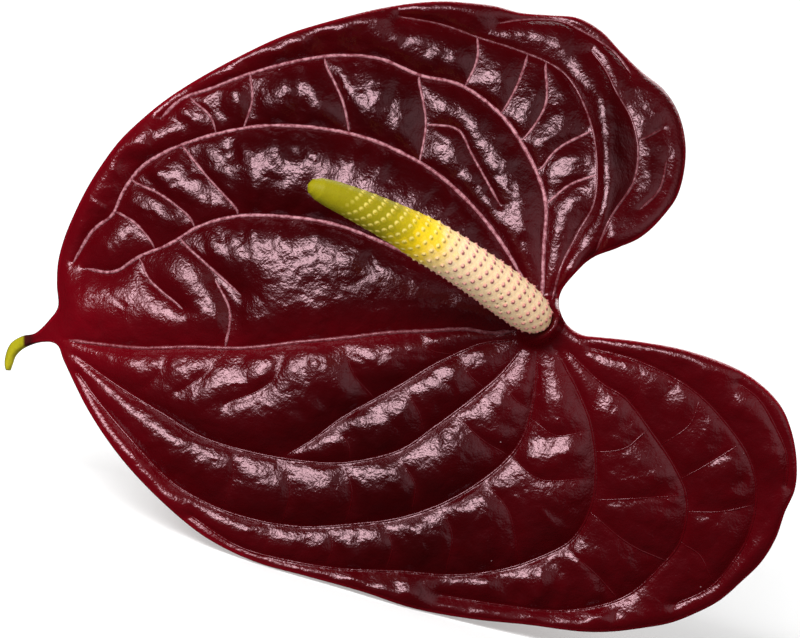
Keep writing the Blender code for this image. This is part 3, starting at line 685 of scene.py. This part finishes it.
def blade_mesh(rim, mains, crosses):
    """Points, triangles and colour masks of the whole blade as one closed body."""
    lines = [(line, 0.3) for line in mains]
    for distance in (0.25, 0.55):
        lines += [(beside(line, distance), 0.24) for line in mains]
    lines += [(line, 0.3) for line in crosses]
    lines += [(beside(line, 0.26), 0.24) for line in crosses]
    front_flat, front_cut, front_rim = flat_sheet(
        rim, (0.14, 0.32, 0.6), lines, FRONT_STEP, 0.3
    )
    lines = [(line, 0.5) for line in mains + crosses]
    back_flat, back_cut, back_rim = flat_sheet(rim, (0.2, 0.6), lines, BACK_STEP, 0.55)
    front, _, front_masks = blade_faces(front_flat, rim, mains, crosses)
    _, back, back_masks = blade_faces(back_flat, rim, mains, crosses)
    count = len(front)
    faces = [tuple(c) for c in front_cut.tolist()]
    faces += [(a + count, c + count, b + count) for a, b, c in back_cut.tolist()]
    for i in range(len(rim)):
        k = (i + 1) % len(rim)
        a, b = int(front_rim[i]), int(front_rim[k])
        c, d = int(back_rim[k]) + count, int(back_rim[i]) + count
        faces.append((a, b, c))
        faces.append((a, c, d))
    masks = {name: np.concatenate([front_masks[name], back_masks[name]]) for name in front_masks}
    masks["under"] = np.concatenate([np.zeros(count), np.ones(len(back))])
    return np.vstack([front, back]), faces, masks


def cord_style(k, line, is_main):
    """Half widths at both ends, rise and paleness of the cord along one vein; the paleness is
    partly the vein's own lighter colour and partly a painted highlight.
    """
    upper = line[:, 1].mean() > MIDRIB_HEIGHT
    if is_main:
        size = UPPER_CORD if upper and k not in THIN_MAINS else LOWER_CORD
        pale_highlight = FAINT_PALE_HIGHLIGHT if k in FAINT_MAINS else 1.0
    else:
        size = UPPER_TWIG if upper else LOWER_TWIG
        pale_highlight = LOBE_TWIG_PALE_HIGHLIGHT if line[:, 0].mean() > LOBE_START else TWIG_PALE_HIGHLIGHT
    # Only the upper veins, which face the key light, are painted pale: partly a painted highlight.
    return size, pale_highlight if upper else 0.0


def cord_path(line, rim, mains, crosses):
    """Smoothed line over the front of the blade, clear of the node, the tail and the margin."""
    clear, _ = near_line(line, rim, closed=True)
    kept = (clear > CORD_CLEAR) & is_inside(line, rim)
    kept &= (np.linalg.norm(line, axis=1) > CORD_START) & (line[:, 0] > TAIL_ROOT)
    path, _, _ = blade_faces(line[kept], rim, mains, crosses)
    for _ in range(3):
        path[1:-1] = 0.25 * path[:-2] + 0.5 * path[1:-1] + 0.25 * path[2:]
    return path


def cord_mesh(rim, mains, crosses):
    """Closed, half sunk cords that follow the veins over the front of the blade."""
    points = []
    faces = []
    pale_and_highlight = []
    for k, line in enumerate(mains + crosses):
        (wide, narrow, lift), pale_highlight = cord_style(k, line, k < len(mains))
        path = cord_path(line, rim, mains, crosses)
        rows = len(path)
        run = np.linspace(0.0, 1.0, rows)
        ends = np.minimum(1.0, np.minimum(run, 1.0 - run) * rows / 3.0)
        places = run * rows * VEIN_STEP / CORD_UNEVEN_SIZE
        uneven = np.array([noise.noise(Vector((place, 3.3 * k, 9.1))) for place in places])
        radius = (wide + (narrow - wide) * run) * (0.25 + 0.75 * ends)
        radius = radius * (1.0 + CORD_UNEVEN * uneven)
        path[:, 2] += lift * ends
        start = len(points)
        for centre, (side, up), r in zip(path, sweep_frames(path), radius):
            for i in range(CORD_SIDES):
                angle = 2.0 * math.pi * i / CORD_SIDES
                points.append(centre + r * (math.cos(angle) * side + math.sin(angle) * up))
        own, tube = close_ends(
            np.array(points[start:]), tube_faces(rows, CORD_SIDES), rows, CORD_SIDES,
            path[0], path[-1],
        )
        points += list(own[-2:])
        faces += [tuple(index + start for index in face) for face in tube]
        pale_and_highlight += [pale_highlight] * (rows * CORD_SIDES + 2)
    points = np.array(points)
    edge, _ = near_line(points[:, :2], rim, closed=True)
    mid, _ = near_line(points[:, :2], mains[0])
    masks = {name: np.zeros(len(points)) for name in ("tail", "under", "rim", "sinus")}
    masks["vein"] = np.array(pale_and_highlight)
    masks["vein_glow_and_tint"] = np.ones(len(points))
    masks["painted_glow"] = painted_glow(points[:, :2], edge, mid)
    return points, faces, masks


def along_profile(profile, t):
    """Read a list of pairs at one value between nought and one."""
    return float(np.interp(t, [p[0] for p in profile], [p[1] for p in profile]))


def sweep_frames(line):
    """Steady cross directions along a line of points in space."""
    ahead = np.gradient(line, axis=0)
    ahead /= np.linalg.norm(ahead, axis=1)[:, None]
    side = np.cross(ahead[0], [0.0, 0.0, 1.0])
    if np.linalg.norm(side) < 0.1:
        side = np.cross(ahead[0], [0.0, 1.0, 0.0])
    side /= np.linalg.norm(side)
    frames = []
    for direction in ahead:
        side = side - direction * float(side @ direction)
        side /= np.linalg.norm(side)
        frames.append((side.copy(), np.cross(direction, side)))
    return frames


def tube_faces(rows, columns):
    """Four-sided faces round a tube."""
    faces = []
    for j in range(rows - 1):
        for i in range(columns):
            k = (i + 1) % columns
            a = j * columns
            b = (j + 1) * columns
            faces.append((a + i, a + k, b + k, b + i))
    return faces


def close_ends(points, faces, rows, columns, first, last):
    """Close a tube with a fan of triangles at each end."""
    points = np.vstack([points, [first, last]])
    foot = len(points) - 2
    tip = len(points) - 1
    for i in range(columns):
        k = (i + 1) % columns
        faces.append((k, i, foot))
        faces.append(((rows - 1) * columns + i, (rows - 1) * columns + k, tip))
    return points, faces


def bent_line(t):
    """Point of the spadix axis between foot and tip."""
    a, b, c = (np.array(p) for p in SPADIX_LINE)
    return a * (1 - t) ** 2 + b * 2 * t * (1 - t) + c * t * t


def spadix_rows():
    """Places of the rows along the spadix, the axis there, its cross directions and its length."""
    samples = np.array([bent_line(t) for t in np.linspace(0.0, 1.0, 600)])
    lengths = np.concatenate([[0.0], np.cumsum(np.linalg.norm(np.diff(samples, axis=0), axis=1))])
    total = lengths[-1]
    places = [0.0, 0.08]
    while places[-1] < total:
        near_tip = max(0.25, min(1.0, (total - places[-1]) / 2.5))
        places.append(places[-1] + SPADIX_ROW_STEP * near_tip)
    places = np.array(places[:-1] + [total])
    line = np.column_stack([np.interp(places, lengths, samples[:, k]) for k in range(3)])
    return places, line, sweep_frames(line), total


def spadix_mesh():
    """Tapered spadix with a small raised point in every floret, set along steep spirals."""
    rng = random.Random(11)
    places, line, frames, total = spadix_rows()
    count = int(total / FLORET_PITCH)
    floret_place = FLORET_PITCH * (np.arange(count) + 0.5)
    floret_angle = FLORET_TURN * np.arange(count)
    tone = np.array([rng.random() for _ in range(count)])
    size = np.array([rng.uniform(0.75, 1.15) for _ in range(count)])
    pitted = np.array([rng.random() < PIT_CHANCE for _ in range(count)])
    columns = np.arange(SPADIX_COLUMNS)
    angles = 2.0 * math.pi * columns / SPADIX_COLUMNS
    points = []
    masks = {name: [] for name in ("along", "fleck", "painted_floret_shadow", "groove", "shaded_pit", "tone")}
    for place, centre, (side, up) in zip(places, line, frames):
        share = place / total
        radius = along_profile(SPADIX_RADIUS, share)
        first = max(0, int((place - FLORET_WINDOW) / FLORET_PITCH))
        last = min(count, int((place + FLORET_WINDOW) / FLORET_PITCH) + 1)
        turn = angles[:, None] - floret_angle[None, first:last]
        turn = (turn + math.pi) % (2.0 * math.pi) - math.pi
        along = place - floret_place[None, first:last]
        around = radius * turn
        reach = np.hypot(along, around)
        order = np.argsort(reach, axis=1)
        own = order[:, 0]
        nearest = reach[columns, own]
        border = reach[columns, order[:, 1]] - nearest
        side_along = np.broadcast_to(along, reach.shape)[columns, own]
        side_around = around[columns, own]
        own = own + first
        calm = step_up(share, *SMOOTH_TIP)
        cream = 1.0 - step_up(share, *CREAM_END)
        groove = np.exp(-border / GROOVE_WIDTH)
        point = np.exp(-((nearest / FLORET_POINT_HALF) ** 2)) * size[own]
        height = FLORET_POINT * (0.25 + 0.75 * cream) * point
        height = height - GROOVE_DEPTH * groove * (0.5 + 0.5 * cream)
        # Small carved hollows, painted dark in the material as painted shade.
        shaded_pit = np.exp(-((np.hypot(side_along - 0.5, side_around - 0.55) / PIT_WIDTH) ** 2))
        shaded_pit = shaded_pit * pitted[own] * (share < PITS_END)
        height = (height - PIT_DEPTH * shaded_pit) * (1.0 - calm) * min(1.0, place / 0.8)
        level = np.maximum(radius - SPADIX_SKIN * min(1.0, radius / 2.0) + height, 0.05)
        spokes = np.cos(angles)[:, None] * side + np.sin(angles)[:, None] * up
        points.append(centre + level[:, None] * spokes)
        fleck = np.exp(-((nearest / FLECK_WIDTH) ** 4))
        # Painted shadow: a dark mauve crescent offset to one side of each floret's point.
        away = np.hypot(side_along - FLORET_SHADOW_PLACE[0], side_around - FLORET_SHADOW_PLACE[1])
        painted_floret_shadow = np.exp(-((away / FLORET_SHADOW_WIDTH) ** 2))
        painted_floret_shadow = painted_floret_shadow * (1.0 - 0.8 * np.exp(-((nearest / 0.16) ** 2)))
        masks["along"].append(np.full(SPADIX_COLUMNS, share))
        masks["fleck"].append(fleck * size[own] * (1.0 - calm))
        masks["painted_floret_shadow"].append(painted_floret_shadow * size[own] * (1.0 - calm))
        masks["groove"].append(groove * (1.0 - calm))
        masks["shaded_pit"].append(shaded_pit)
        masks["tone"].append(tone[own])
    faces = tube_faces(len(line), SPADIX_COLUMNS)
    points, faces = close_ends(
        np.vstack(points), faces, len(line), SPADIX_COLUMNS, line[0], line[-1]
    )
    for name, values in masks.items():
        flat = np.concatenate(values)
        masks[name] = np.concatenate([flat, [flat[0], flat[-1]]])
    return points, faces, masks


def stem_mesh():
    """Long round stem with faint ribs, swollen under the flower, slanted at the cut."""
    smooth = through_points(STEM_LINE, 1.0)
    lengths = np.concatenate([[0.0], np.cumsum(np.linalg.norm(np.diff(smooth, axis=0), axis=1))])
    total = lengths[-1]
    shares = np.linspace(0.0, 1.0, STEM_ROWS)
    line = np.column_stack([np.interp(shares * total, lengths, smooth[:, k]) for k in range(3)])
    frames = sweep_frames(line)
    ahead = line[-1] - line[-2]
    ahead /= np.linalg.norm(ahead)
    points = []
    along = []
    for j, (centre, (side, up)) in enumerate(zip(line, frames)):
        radius = along_profile(STEM_RADIUS, shares[j])
        for i in range(STEM_SIDES):
            angle = 2.0 * math.pi * i / STEM_SIDES
            turn = Vector((math.cos(angle) * 1.6, math.sin(angle) * 1.6, shares[j] * 9.0))
            rib = math.cos(STEM_RIBS * angle + 3.0 * noise.noise(turn)) + noise.noise(turn * 2.3)
            level = radius - STEM_SKIN + STEM_RIB_RISE * rib
            place = centre + level * (math.cos(angle) * side + math.sin(angle) * up)
            if j == len(line) - 1:
                place = place + ahead * level * CUT_SLANT * math.cos(angle)
            points.append(place)
            along.append(shares[j])
    rows = len(line)
    faces = tube_faces(rows, STEM_SIDES)
    points, faces = close_ends(np.array(points), faces, rows, STEM_SIDES, line[0], line[-1])
    return points, faces, {"along": np.array(along + [0.0, 1.0])}


def flower_matrix():
    """Place of the flower frame in the world, in metres."""
    rise = Vector((0.0, math.sin(LIFT_ANGLE), math.cos(LIFT_ANGLE)))
    right = Vector((1.0, 0.0, 0.0))
    u = right * math.cos(ROLL_ANGLE) + rise * math.sin(ROLL_ANGLE)
    v = rise * math.cos(ROLL_ANGLE) - right * math.sin(ROLL_ANGLE)
    w = Vector((0.0, -math.cos(LIFT_ANGLE), math.sin(LIFT_ANGLE)))
    turn = Matrix((u, v, w)).transposed().to_4x4()
    return Matrix.Translation(Vector(REST_SHIFT) * MM) @ turn


def make_piece(name, node, shape, material, stands_in=True):
    """Smooth shaded piece in the row frame, kept inside its solid's box."""
    points, faces, masks = shape
    place = np.array(flower_matrix())
    world = points * MM @ place[:3, :3].T + place[:3, 3]
    low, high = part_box(node)
    world = np.clip(world, np.array(low), np.array(high))
    mesh = bpy.data.meshes.new(name)
    mesh.from_pydata(world.tolist(), [], faces)
    for mask, values in masks.items():
        layer = mesh.attributes.new(mask, "FLOAT", "POINT")
        layer.data.foreach_set("value", values.astype(np.float32))
    mesh.update()
    mesh.shade_smooth()
    mesh.materials.append(material)
    piece = bpy.data.objects.new(name, mesh)
    bpy.context.scene.collection.objects.link(piece)
    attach(piece, "root")
    if stands_in:
        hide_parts(node)
    return piece


class Nodes:
    """Short way to lay out the nodes of one material."""

    def __init__(self, name):
        self.material = bpy.data.materials.new(name)
        self.material.use_nodes = True
        self.tree = self.material.node_tree
        self.shader = self.tree.nodes["Principled BSDF"]
        self.coords = self.add("ShaderNodeTexCoord").outputs["Object"]

    def add(self, kind, **settings):
        node = self.tree.nodes.new(kind)
        for key, value in settings.items():
            setattr(node, key, value)
        return node

    def join(self, source, target):
        self.tree.links.new(source, target)

    def mask(self, name):
        return self.add("ShaderNodeAttribute", attribute_name=name).outputs["Fac"]

    def noise(self, scale, detail=4.0, roughness=0.55, stretch=None):
        texture = self.add("ShaderNodeTexNoise")
        texture.inputs["Scale"].default_value = scale
        texture.inputs["Detail"].default_value = detail
        texture.inputs["Roughness"].default_value = roughness
        self.join(self.stretched(stretch), texture.inputs["Vector"])
        return texture.outputs["Fac"]

    def cells(self, scale, stretch=None):
        texture = self.add("ShaderNodeTexVoronoi")
        texture.inputs["Scale"].default_value = scale
        self.join(self.stretched(stretch), texture.inputs["Vector"])
        return texture.outputs["Distance"], texture.outputs["Color"]

    def stretched(self, stretch):
        if stretch is None:
            return self.coords
        mapping = self.add("ShaderNodeMapping")
        mapping.inputs["Scale"].default_value = stretch
        self.join(self.coords, mapping.inputs["Vector"])
        return mapping.outputs["Vector"]

    def ramp(self, source, stops):
        node = self.add("ShaderNodeValToRGB")
        elements = node.color_ramp.elements
        while len(elements) < len(stops):
            elements.new(0.5)
        for element, (place, colour) in zip(elements, stops):
            element.position = place
            element.color = (*colour, 1.0)
        self.join(source, node.inputs["Fac"])
        return node.outputs["Color"]

    def level(self, source, low, high, to_low=0.0, to_high=1.0):
        node = self.add("ShaderNodeMapRange")
        node.inputs["From Min"].default_value = low
        node.inputs["From Max"].default_value = high
        node.inputs["To Min"].default_value = to_low
        node.inputs["To Max"].default_value = to_high
        self.join(source, node.inputs["Value"])
        return node.outputs["Result"]

    def maths(self, kind, first, second):
        node = self.add("ShaderNodeMath", operation=kind)
        self.join(first, node.inputs[0])
        self.join(second, node.inputs[1])
        return node.outputs["Value"]

    def mix(self, share, first, second):
        node = self.add("ShaderNodeMix", data_type="RGBA")
        if isinstance(share, float):
            node.inputs[0].default_value = share
        else:
            self.join(share, node.inputs[0])
        for socket, value in ((node.inputs[6], first), (node.inputs[7], second)):
            if isinstance(value, tuple):
                socket.default_value = (*value, 1.0)
            else:
                self.join(value, socket)
        return node.outputs[2]

    def bump(self, height, distance, below=None):
        node = self.add("ShaderNodeBump")
        node.inputs["Distance"].default_value = distance
        self.join(height, node.inputs["Height"])
        if below is not None:
            self.join(below, node.inputs["Normal"])
        return node.outputs["Normal"]


def blade_material():
    """Waxy dark burgundy with a brighter rim, dull and paler underneath; the pale veins are partly
    their own colour and partly painted highlight, and a painted glow brightens the red where the
    front looks lit.
    """
    n = Nodes("spathe_wax")
    blotch = n.noise(60.0, 3.0)
    front = n.ramp(blotch, [(0.3, (0.017, 0.0001, 0.0004)), (0.7, (0.028, 0.0001, 0.0008))])
    # Painted light: brighter red in the grooves beside the veins, a painted glow.
    front = n.mix(n.level(n.mask("vein_glow_and_tint"), 0.1, 1.0, 0.0, 0.6), front, (0.045, 0.0002, 0.0012))
    # Painted light: brighter red where the front looks lit, a painted glow.
    front = n.mix(n.mask("painted_glow"), front, (0.11, 0.0002, 0.003))
    # Pale cords: partly the veins' own lighter colour, partly a painted highlight.
    mottle = n.noise(1300.0, 3.0, 0.6)
    pale_and_highlight = n.ramp(mottle, [(0.38, (0.13, 0.022, 0.031)), (0.62, (0.36, 0.155, 0.18))])
    front = n.mix(n.mask("vein"), front, pale_and_highlight)
    front = n.mix(n.level(n.mask("rim"), 0.3, 1.0, 0.0, 0.85), front, (0.24, 0.0012, 0.008))
    away, tint = n.cells(210.0)
    odd = n.add("ShaderNodeSeparateColor")
    n.join(tint, odd.inputs[0])
    few = n.level(odd.outputs[0], 0.72, 0.74, 0.0, 0.55)
    dust = n.maths("MULTIPLY", n.level(away, 0.035, 0.02), few)
    front = n.mix(dust, front, (0.42, 0.26, 0.28))
    under = n.ramp(n.noise(70.0, 4.0), [(0.3, (0.11, 0.022, 0.014)), (0.7, (0.17, 0.045, 0.022))])
    # Paler veins on the underside, their own colour.
    under = n.mix(n.level(n.mask("vein_glow_and_tint"), 0.2, 1.0, 0.0, 0.7), under, (0.2, 0.09, 0.035))
    under = n.mix(n.level(n.mask("sinus"), 0.3, 0.9), under, (0.26, 0.14, 0.06))
    colour = n.mix(n.mask("under"), front, under)
    tip = n.ramp(n.mask("tail"), [
        (0.0, (0.03, 0.001, 0.003)), (0.52, (0.05, 0.008, 0.006)), (0.66, (0.30, 0.27, 0.006)),
        (1.0, (0.36, 0.32, 0.01)),
    ])
    colour = n.mix(n.level(n.mask("tail"), 0.0, 0.25), colour, tip)
    n.join(colour, n.shader.inputs["Base Color"])
    rough = n.level(n.noise(420.0, 3.0), 0.3, 0.7, 0.18, 0.26)
    rough = n.maths("ADD", rough, n.level(n.mask("under"), 0.0, 1.0, 0.0, 0.22))
    rough = n.maths("ADD", rough, n.level(n.mask("vein"), 0.0, 1.0, 0.0, 0.20))
    n.join(rough, n.shader.inputs["Roughness"])
    fine = n.bump(n.noise(2300.0, 1.0, 0.5), 0.00007)
    folds = n.bump(n.noise(1000.0, 2.0, 0.5), 0.00008, fine)
    n.join(folds, n.shader.inputs["Normal"])
    n.shader.inputs["IOR"].default_value = 1.5
    n.shader.inputs["Specular Tint"].default_value = (1.0, 0.64, 0.72, 1.0)
    return n.material


def spadix_material():
    """Cream florets near the foot, yellow and then green towards the tip."""
    n = Nodes("spadix_florets")
    shift = n.level(n.mask("tone"), 0.0, 1.0, -0.02, 0.02)
    place = n.maths("ADD", n.mask("along"), shift)
    body = n.ramp(place, [
        (0.0, (0.60, 0.38, 0.20)), (0.06, (0.80, 0.56, 0.34)), (0.47, (0.86, 0.63, 0.37)),
        (0.52, (0.87, 0.61, 0.22)), (0.57, (0.84, 0.56, 0.04)), (0.62, (0.72, 0.49, 0.002)),
        (0.67, (0.46, 0.34, 0.0003)), (0.74, (0.25, 0.205, 0.0003)), (1.0, (0.215, 0.185, 0.0003)),
    ])
    spots = n.ramp(place, [
        (0.0, (0.58, 0.20, 0.19)), (0.46, (0.66, 0.30, 0.26)), (0.53, (0.76, 0.50, 0.28)),
        (0.60, (0.74, 0.58, 0.16)), (1.0, (0.46, 0.39, 0.04)),
    ])
    # Colours of the painted shadow beside each floret's point.
    shadow_colours = n.ramp(place, [
        (0.0, (0.26, 0.055, 0.06)), (0.46, (0.32, 0.10, 0.11)), (0.54, (0.56, 0.34, 0.08)),
        (0.60, (0.44, 0.32, 0.002)), (1.0, (0.17, 0.14, 0.0003)),
    ])
    gaps = n.mix(0.25, body, (0.34, 0.16, 0.06))
    colour = n.mix(n.level(n.mask("groove"), 0.3, 1.0, 0.0, 0.2), body, gaps)
    colour = n.mix(n.level(n.mask("fleck"), 0.05, 0.6, 0.0, 0.9), colour, spots)
    # Painted shadow beside each floret's point.
    colour = n.mix(n.level(n.mask("painted_floret_shadow"), 0.15, 0.6, 0.0, 0.95), colour, shadow_colours)
    # The pits are painted dark: painted shade in these hollows.
    colour = n.mix(n.level(n.mask("shaded_pit"), 0.2, 0.8, 0.0, 0.9), colour, (0.09, 0.06, 0.012))
    n.join(colour, n.shader.inputs["Base Color"])
    rough = n.level(n.noise(700.0), 0.3, 0.7, 0.44, 0.6)
    n.join(rough, n.shader.inputs["Roughness"])
    n.join(n.bump(n.noise(1800.0, 3.0), 0.00005), n.shader.inputs["Normal"])
    n.shader.inputs["Specular IOR Level"].default_value = 0.15
    n.shader.inputs["Subsurface Weight"].default_value = 0.1
    n.shader.inputs["Subsurface Radius"].default_value = (1.0, 0.6, 0.3)
    n.shader.inputs["Subsurface Scale"].default_value = 0.0006
    return n.material


def stem_material():
    """Smooth green stem with faint long streaks, redder under the flower."""
    n = Nodes("stem_skin")
    streaks = n.noise(240.0, 4.0, 0.6, (1.0, 0.04, 1.0))
    skin = n.ramp(streaks, [(0.3, (0.055, 0.12, 0.022)), (0.7, (0.12, 0.21, 0.05))])
    away, _ = n.cells(500.0, (1.0, 0.4, 1.0))
    flecks = n.level(away, 0.0, 0.2, 0.35, 0.0)
    skin = n.mix(flecks, skin, (0.2, 0.3, 0.1))
    skin = n.mix(n.level(n.mask("along"), 0.0, 0.1, 0.75, 0.0), skin, (0.12, 0.03, 0.015))
    cut = n.level(n.mask("along"), 0.9992, 1.0)
    skin = n.mix(cut, skin, (0.42, 0.46, 0.22))
    n.join(skin, n.shader.inputs["Base Color"])
    n.join(n.level(n.noise(400.0), 0.3, 0.7, 0.32, 0.48), n.shader.inputs["Roughness"])
    n.join(n.bump(streaks, 0.00015), n.shader.inputs["Normal"])
    return n.material


def make_floor():
    """Wide pale floor that throws no mirror image into the gloss of the blade."""
    material = bpy.data.materials.new("floor_pale")
    material.use_nodes = True
    shader = material.node_tree.nodes["Principled BSDF"]
    shader.inputs["Base Color"].default_value = (FLOOR_GREY, FLOOR_GREY, FLOOR_GREY, 1.0)
    shader.inputs["Roughness"].default_value = FLOOR_ROUGHNESS
    shader.inputs["Specular IOR Level"].default_value = 0.0
    mesh = bpy.data.meshes.new("floor")
    half = FLOOR_HALF
    corners = [(-half, -half, 0.0), (half, -half, 0.0), (half, half, 0.0), (-half, half, 0.0)]
    mesh.from_pydata(corners, [], [(0, 1, 2, 3)])
    mesh.materials.append(material)
    floor = bpy.data.objects.new("floor", mesh)
    bpy.context.scene.collection.objects.link(floor)
    floor.location.z = -FLOOR_DROP
    floor.visible_glossy = False
    floor.visible_diffuse = False


def soft_box(name, towards, distance, size, radiance, spread=math.pi):
    """Area light in a direction of the flower frame, measured from the middle of the blade."""
    light = bpy.data.lights.new(name, "AREA")
    light.shape = "RECTANGLE"
    light.size, light.size_y = size
    light.energy = radiance * math.pi * size[0] * size[1]
    if spread < math.pi:
        light.spread = spread
        light.energy *= 1.0 - 0.5 * spread / math.tan(0.5 * spread)
    lamp = bpy.data.objects.new(name, light)
    bpy.context.scene.collection.objects.link(lamp)
    away = Vector(towards).normalized()
    across = Vector((0.0, 1.0, 0.0)).cross(away).normalized()
    turn = Matrix((across, away.cross(across), away)).transposed().to_4x4()
    place = Matrix.Translation(away * distance + BLADE_MIDDLE * MM)
    lamp.matrix_world = flower_matrix() @ place @ turn


def make_lights():
    """Large soft box over the flower, weak one on the right, one behind, dim surroundings."""
    soft_box("key", **KEY)
    soft_box("key_edge", **KEY_EDGE)
    soft_box("side", **SIDE, spread=SIDE_SPREAD)
    soft_box("rear", **REAR)
    world = bpy.data.worlds.new("studio")
    bpy.context.scene.world = world
    world.use_nodes = True
    tree = world.node_tree
    background = tree.nodes["Background"]
    rays = tree.nodes.new("ShaderNodeLightPath")
    tone = None
    for output, strength in (("Is Glossy Ray", WORLD_GLOSS), ("Is Camera Ray", 1.0)):
        mix = tree.nodes.new("ShaderNodeMix")
        mix.data_type = "FLOAT"
        mix.inputs[2].default_value = WORLD_DIFFUSE
        mix.inputs[3].default_value = strength
        if tone is not None:
            tree.links.new(tone, mix.inputs[2])
        tree.links.new(rays.outputs[output], mix.inputs[0])
        tone = mix.outputs[0]
    background.inputs["Color"].default_value = (1.0, 1.0, 1.0, 1.0)
    tree.links.new(tone, background.inputs["Strength"])


def make_camera():
    """Camera straight in front of the blade's plane, framed as in the photo."""
    data = bpy.data.cameras.new("camera")
    camera = bpy.data.objects.new("camera", data)
    bpy.context.scene.collection.objects.link(camera)
    centre_u = (PHOTO_WIDTH / 2 - NODE_PIXEL[0]) * MM_PER_PIXEL
    centre_v = (NODE_PIXEL[1] - PHOTO_HEIGHT / 2) * MM_PER_PIXEL
    place = Matrix.Translation(Vector((centre_u, centre_v, CAMERA_DISTANCE)) * MM)
    camera.matrix_world = flower_matrix() @ place
    data.sensor_width = SENSOR_WIDTH
    data.lens = SENSOR_WIDTH * CAMERA_DISTANCE / (PHOTO_WIDTH * MM_PER_PIXEL)
    data.clip_end = FARTHEST_SEEN
    bpy.context.scene.camera = camera


def main():
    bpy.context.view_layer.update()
    bpy.context.scene.view_settings.view_transform = "Standard"
    make_camera()
    make_lights()
    make_floor()
    lines = blade_lines()
    wax = blade_material()
    make_piece("spathe_blade", "spathe", blade_mesh(*lines), wax)
    make_piece("spathe_veins", "spathe", cord_mesh(*lines), wax, stands_in=False)
    make_piece("spadix_spike", "spadix", spadix_mesh(), spadix_material())
    make_piece("stem_stalk", "stem", stem_mesh(), stem_material())


main()
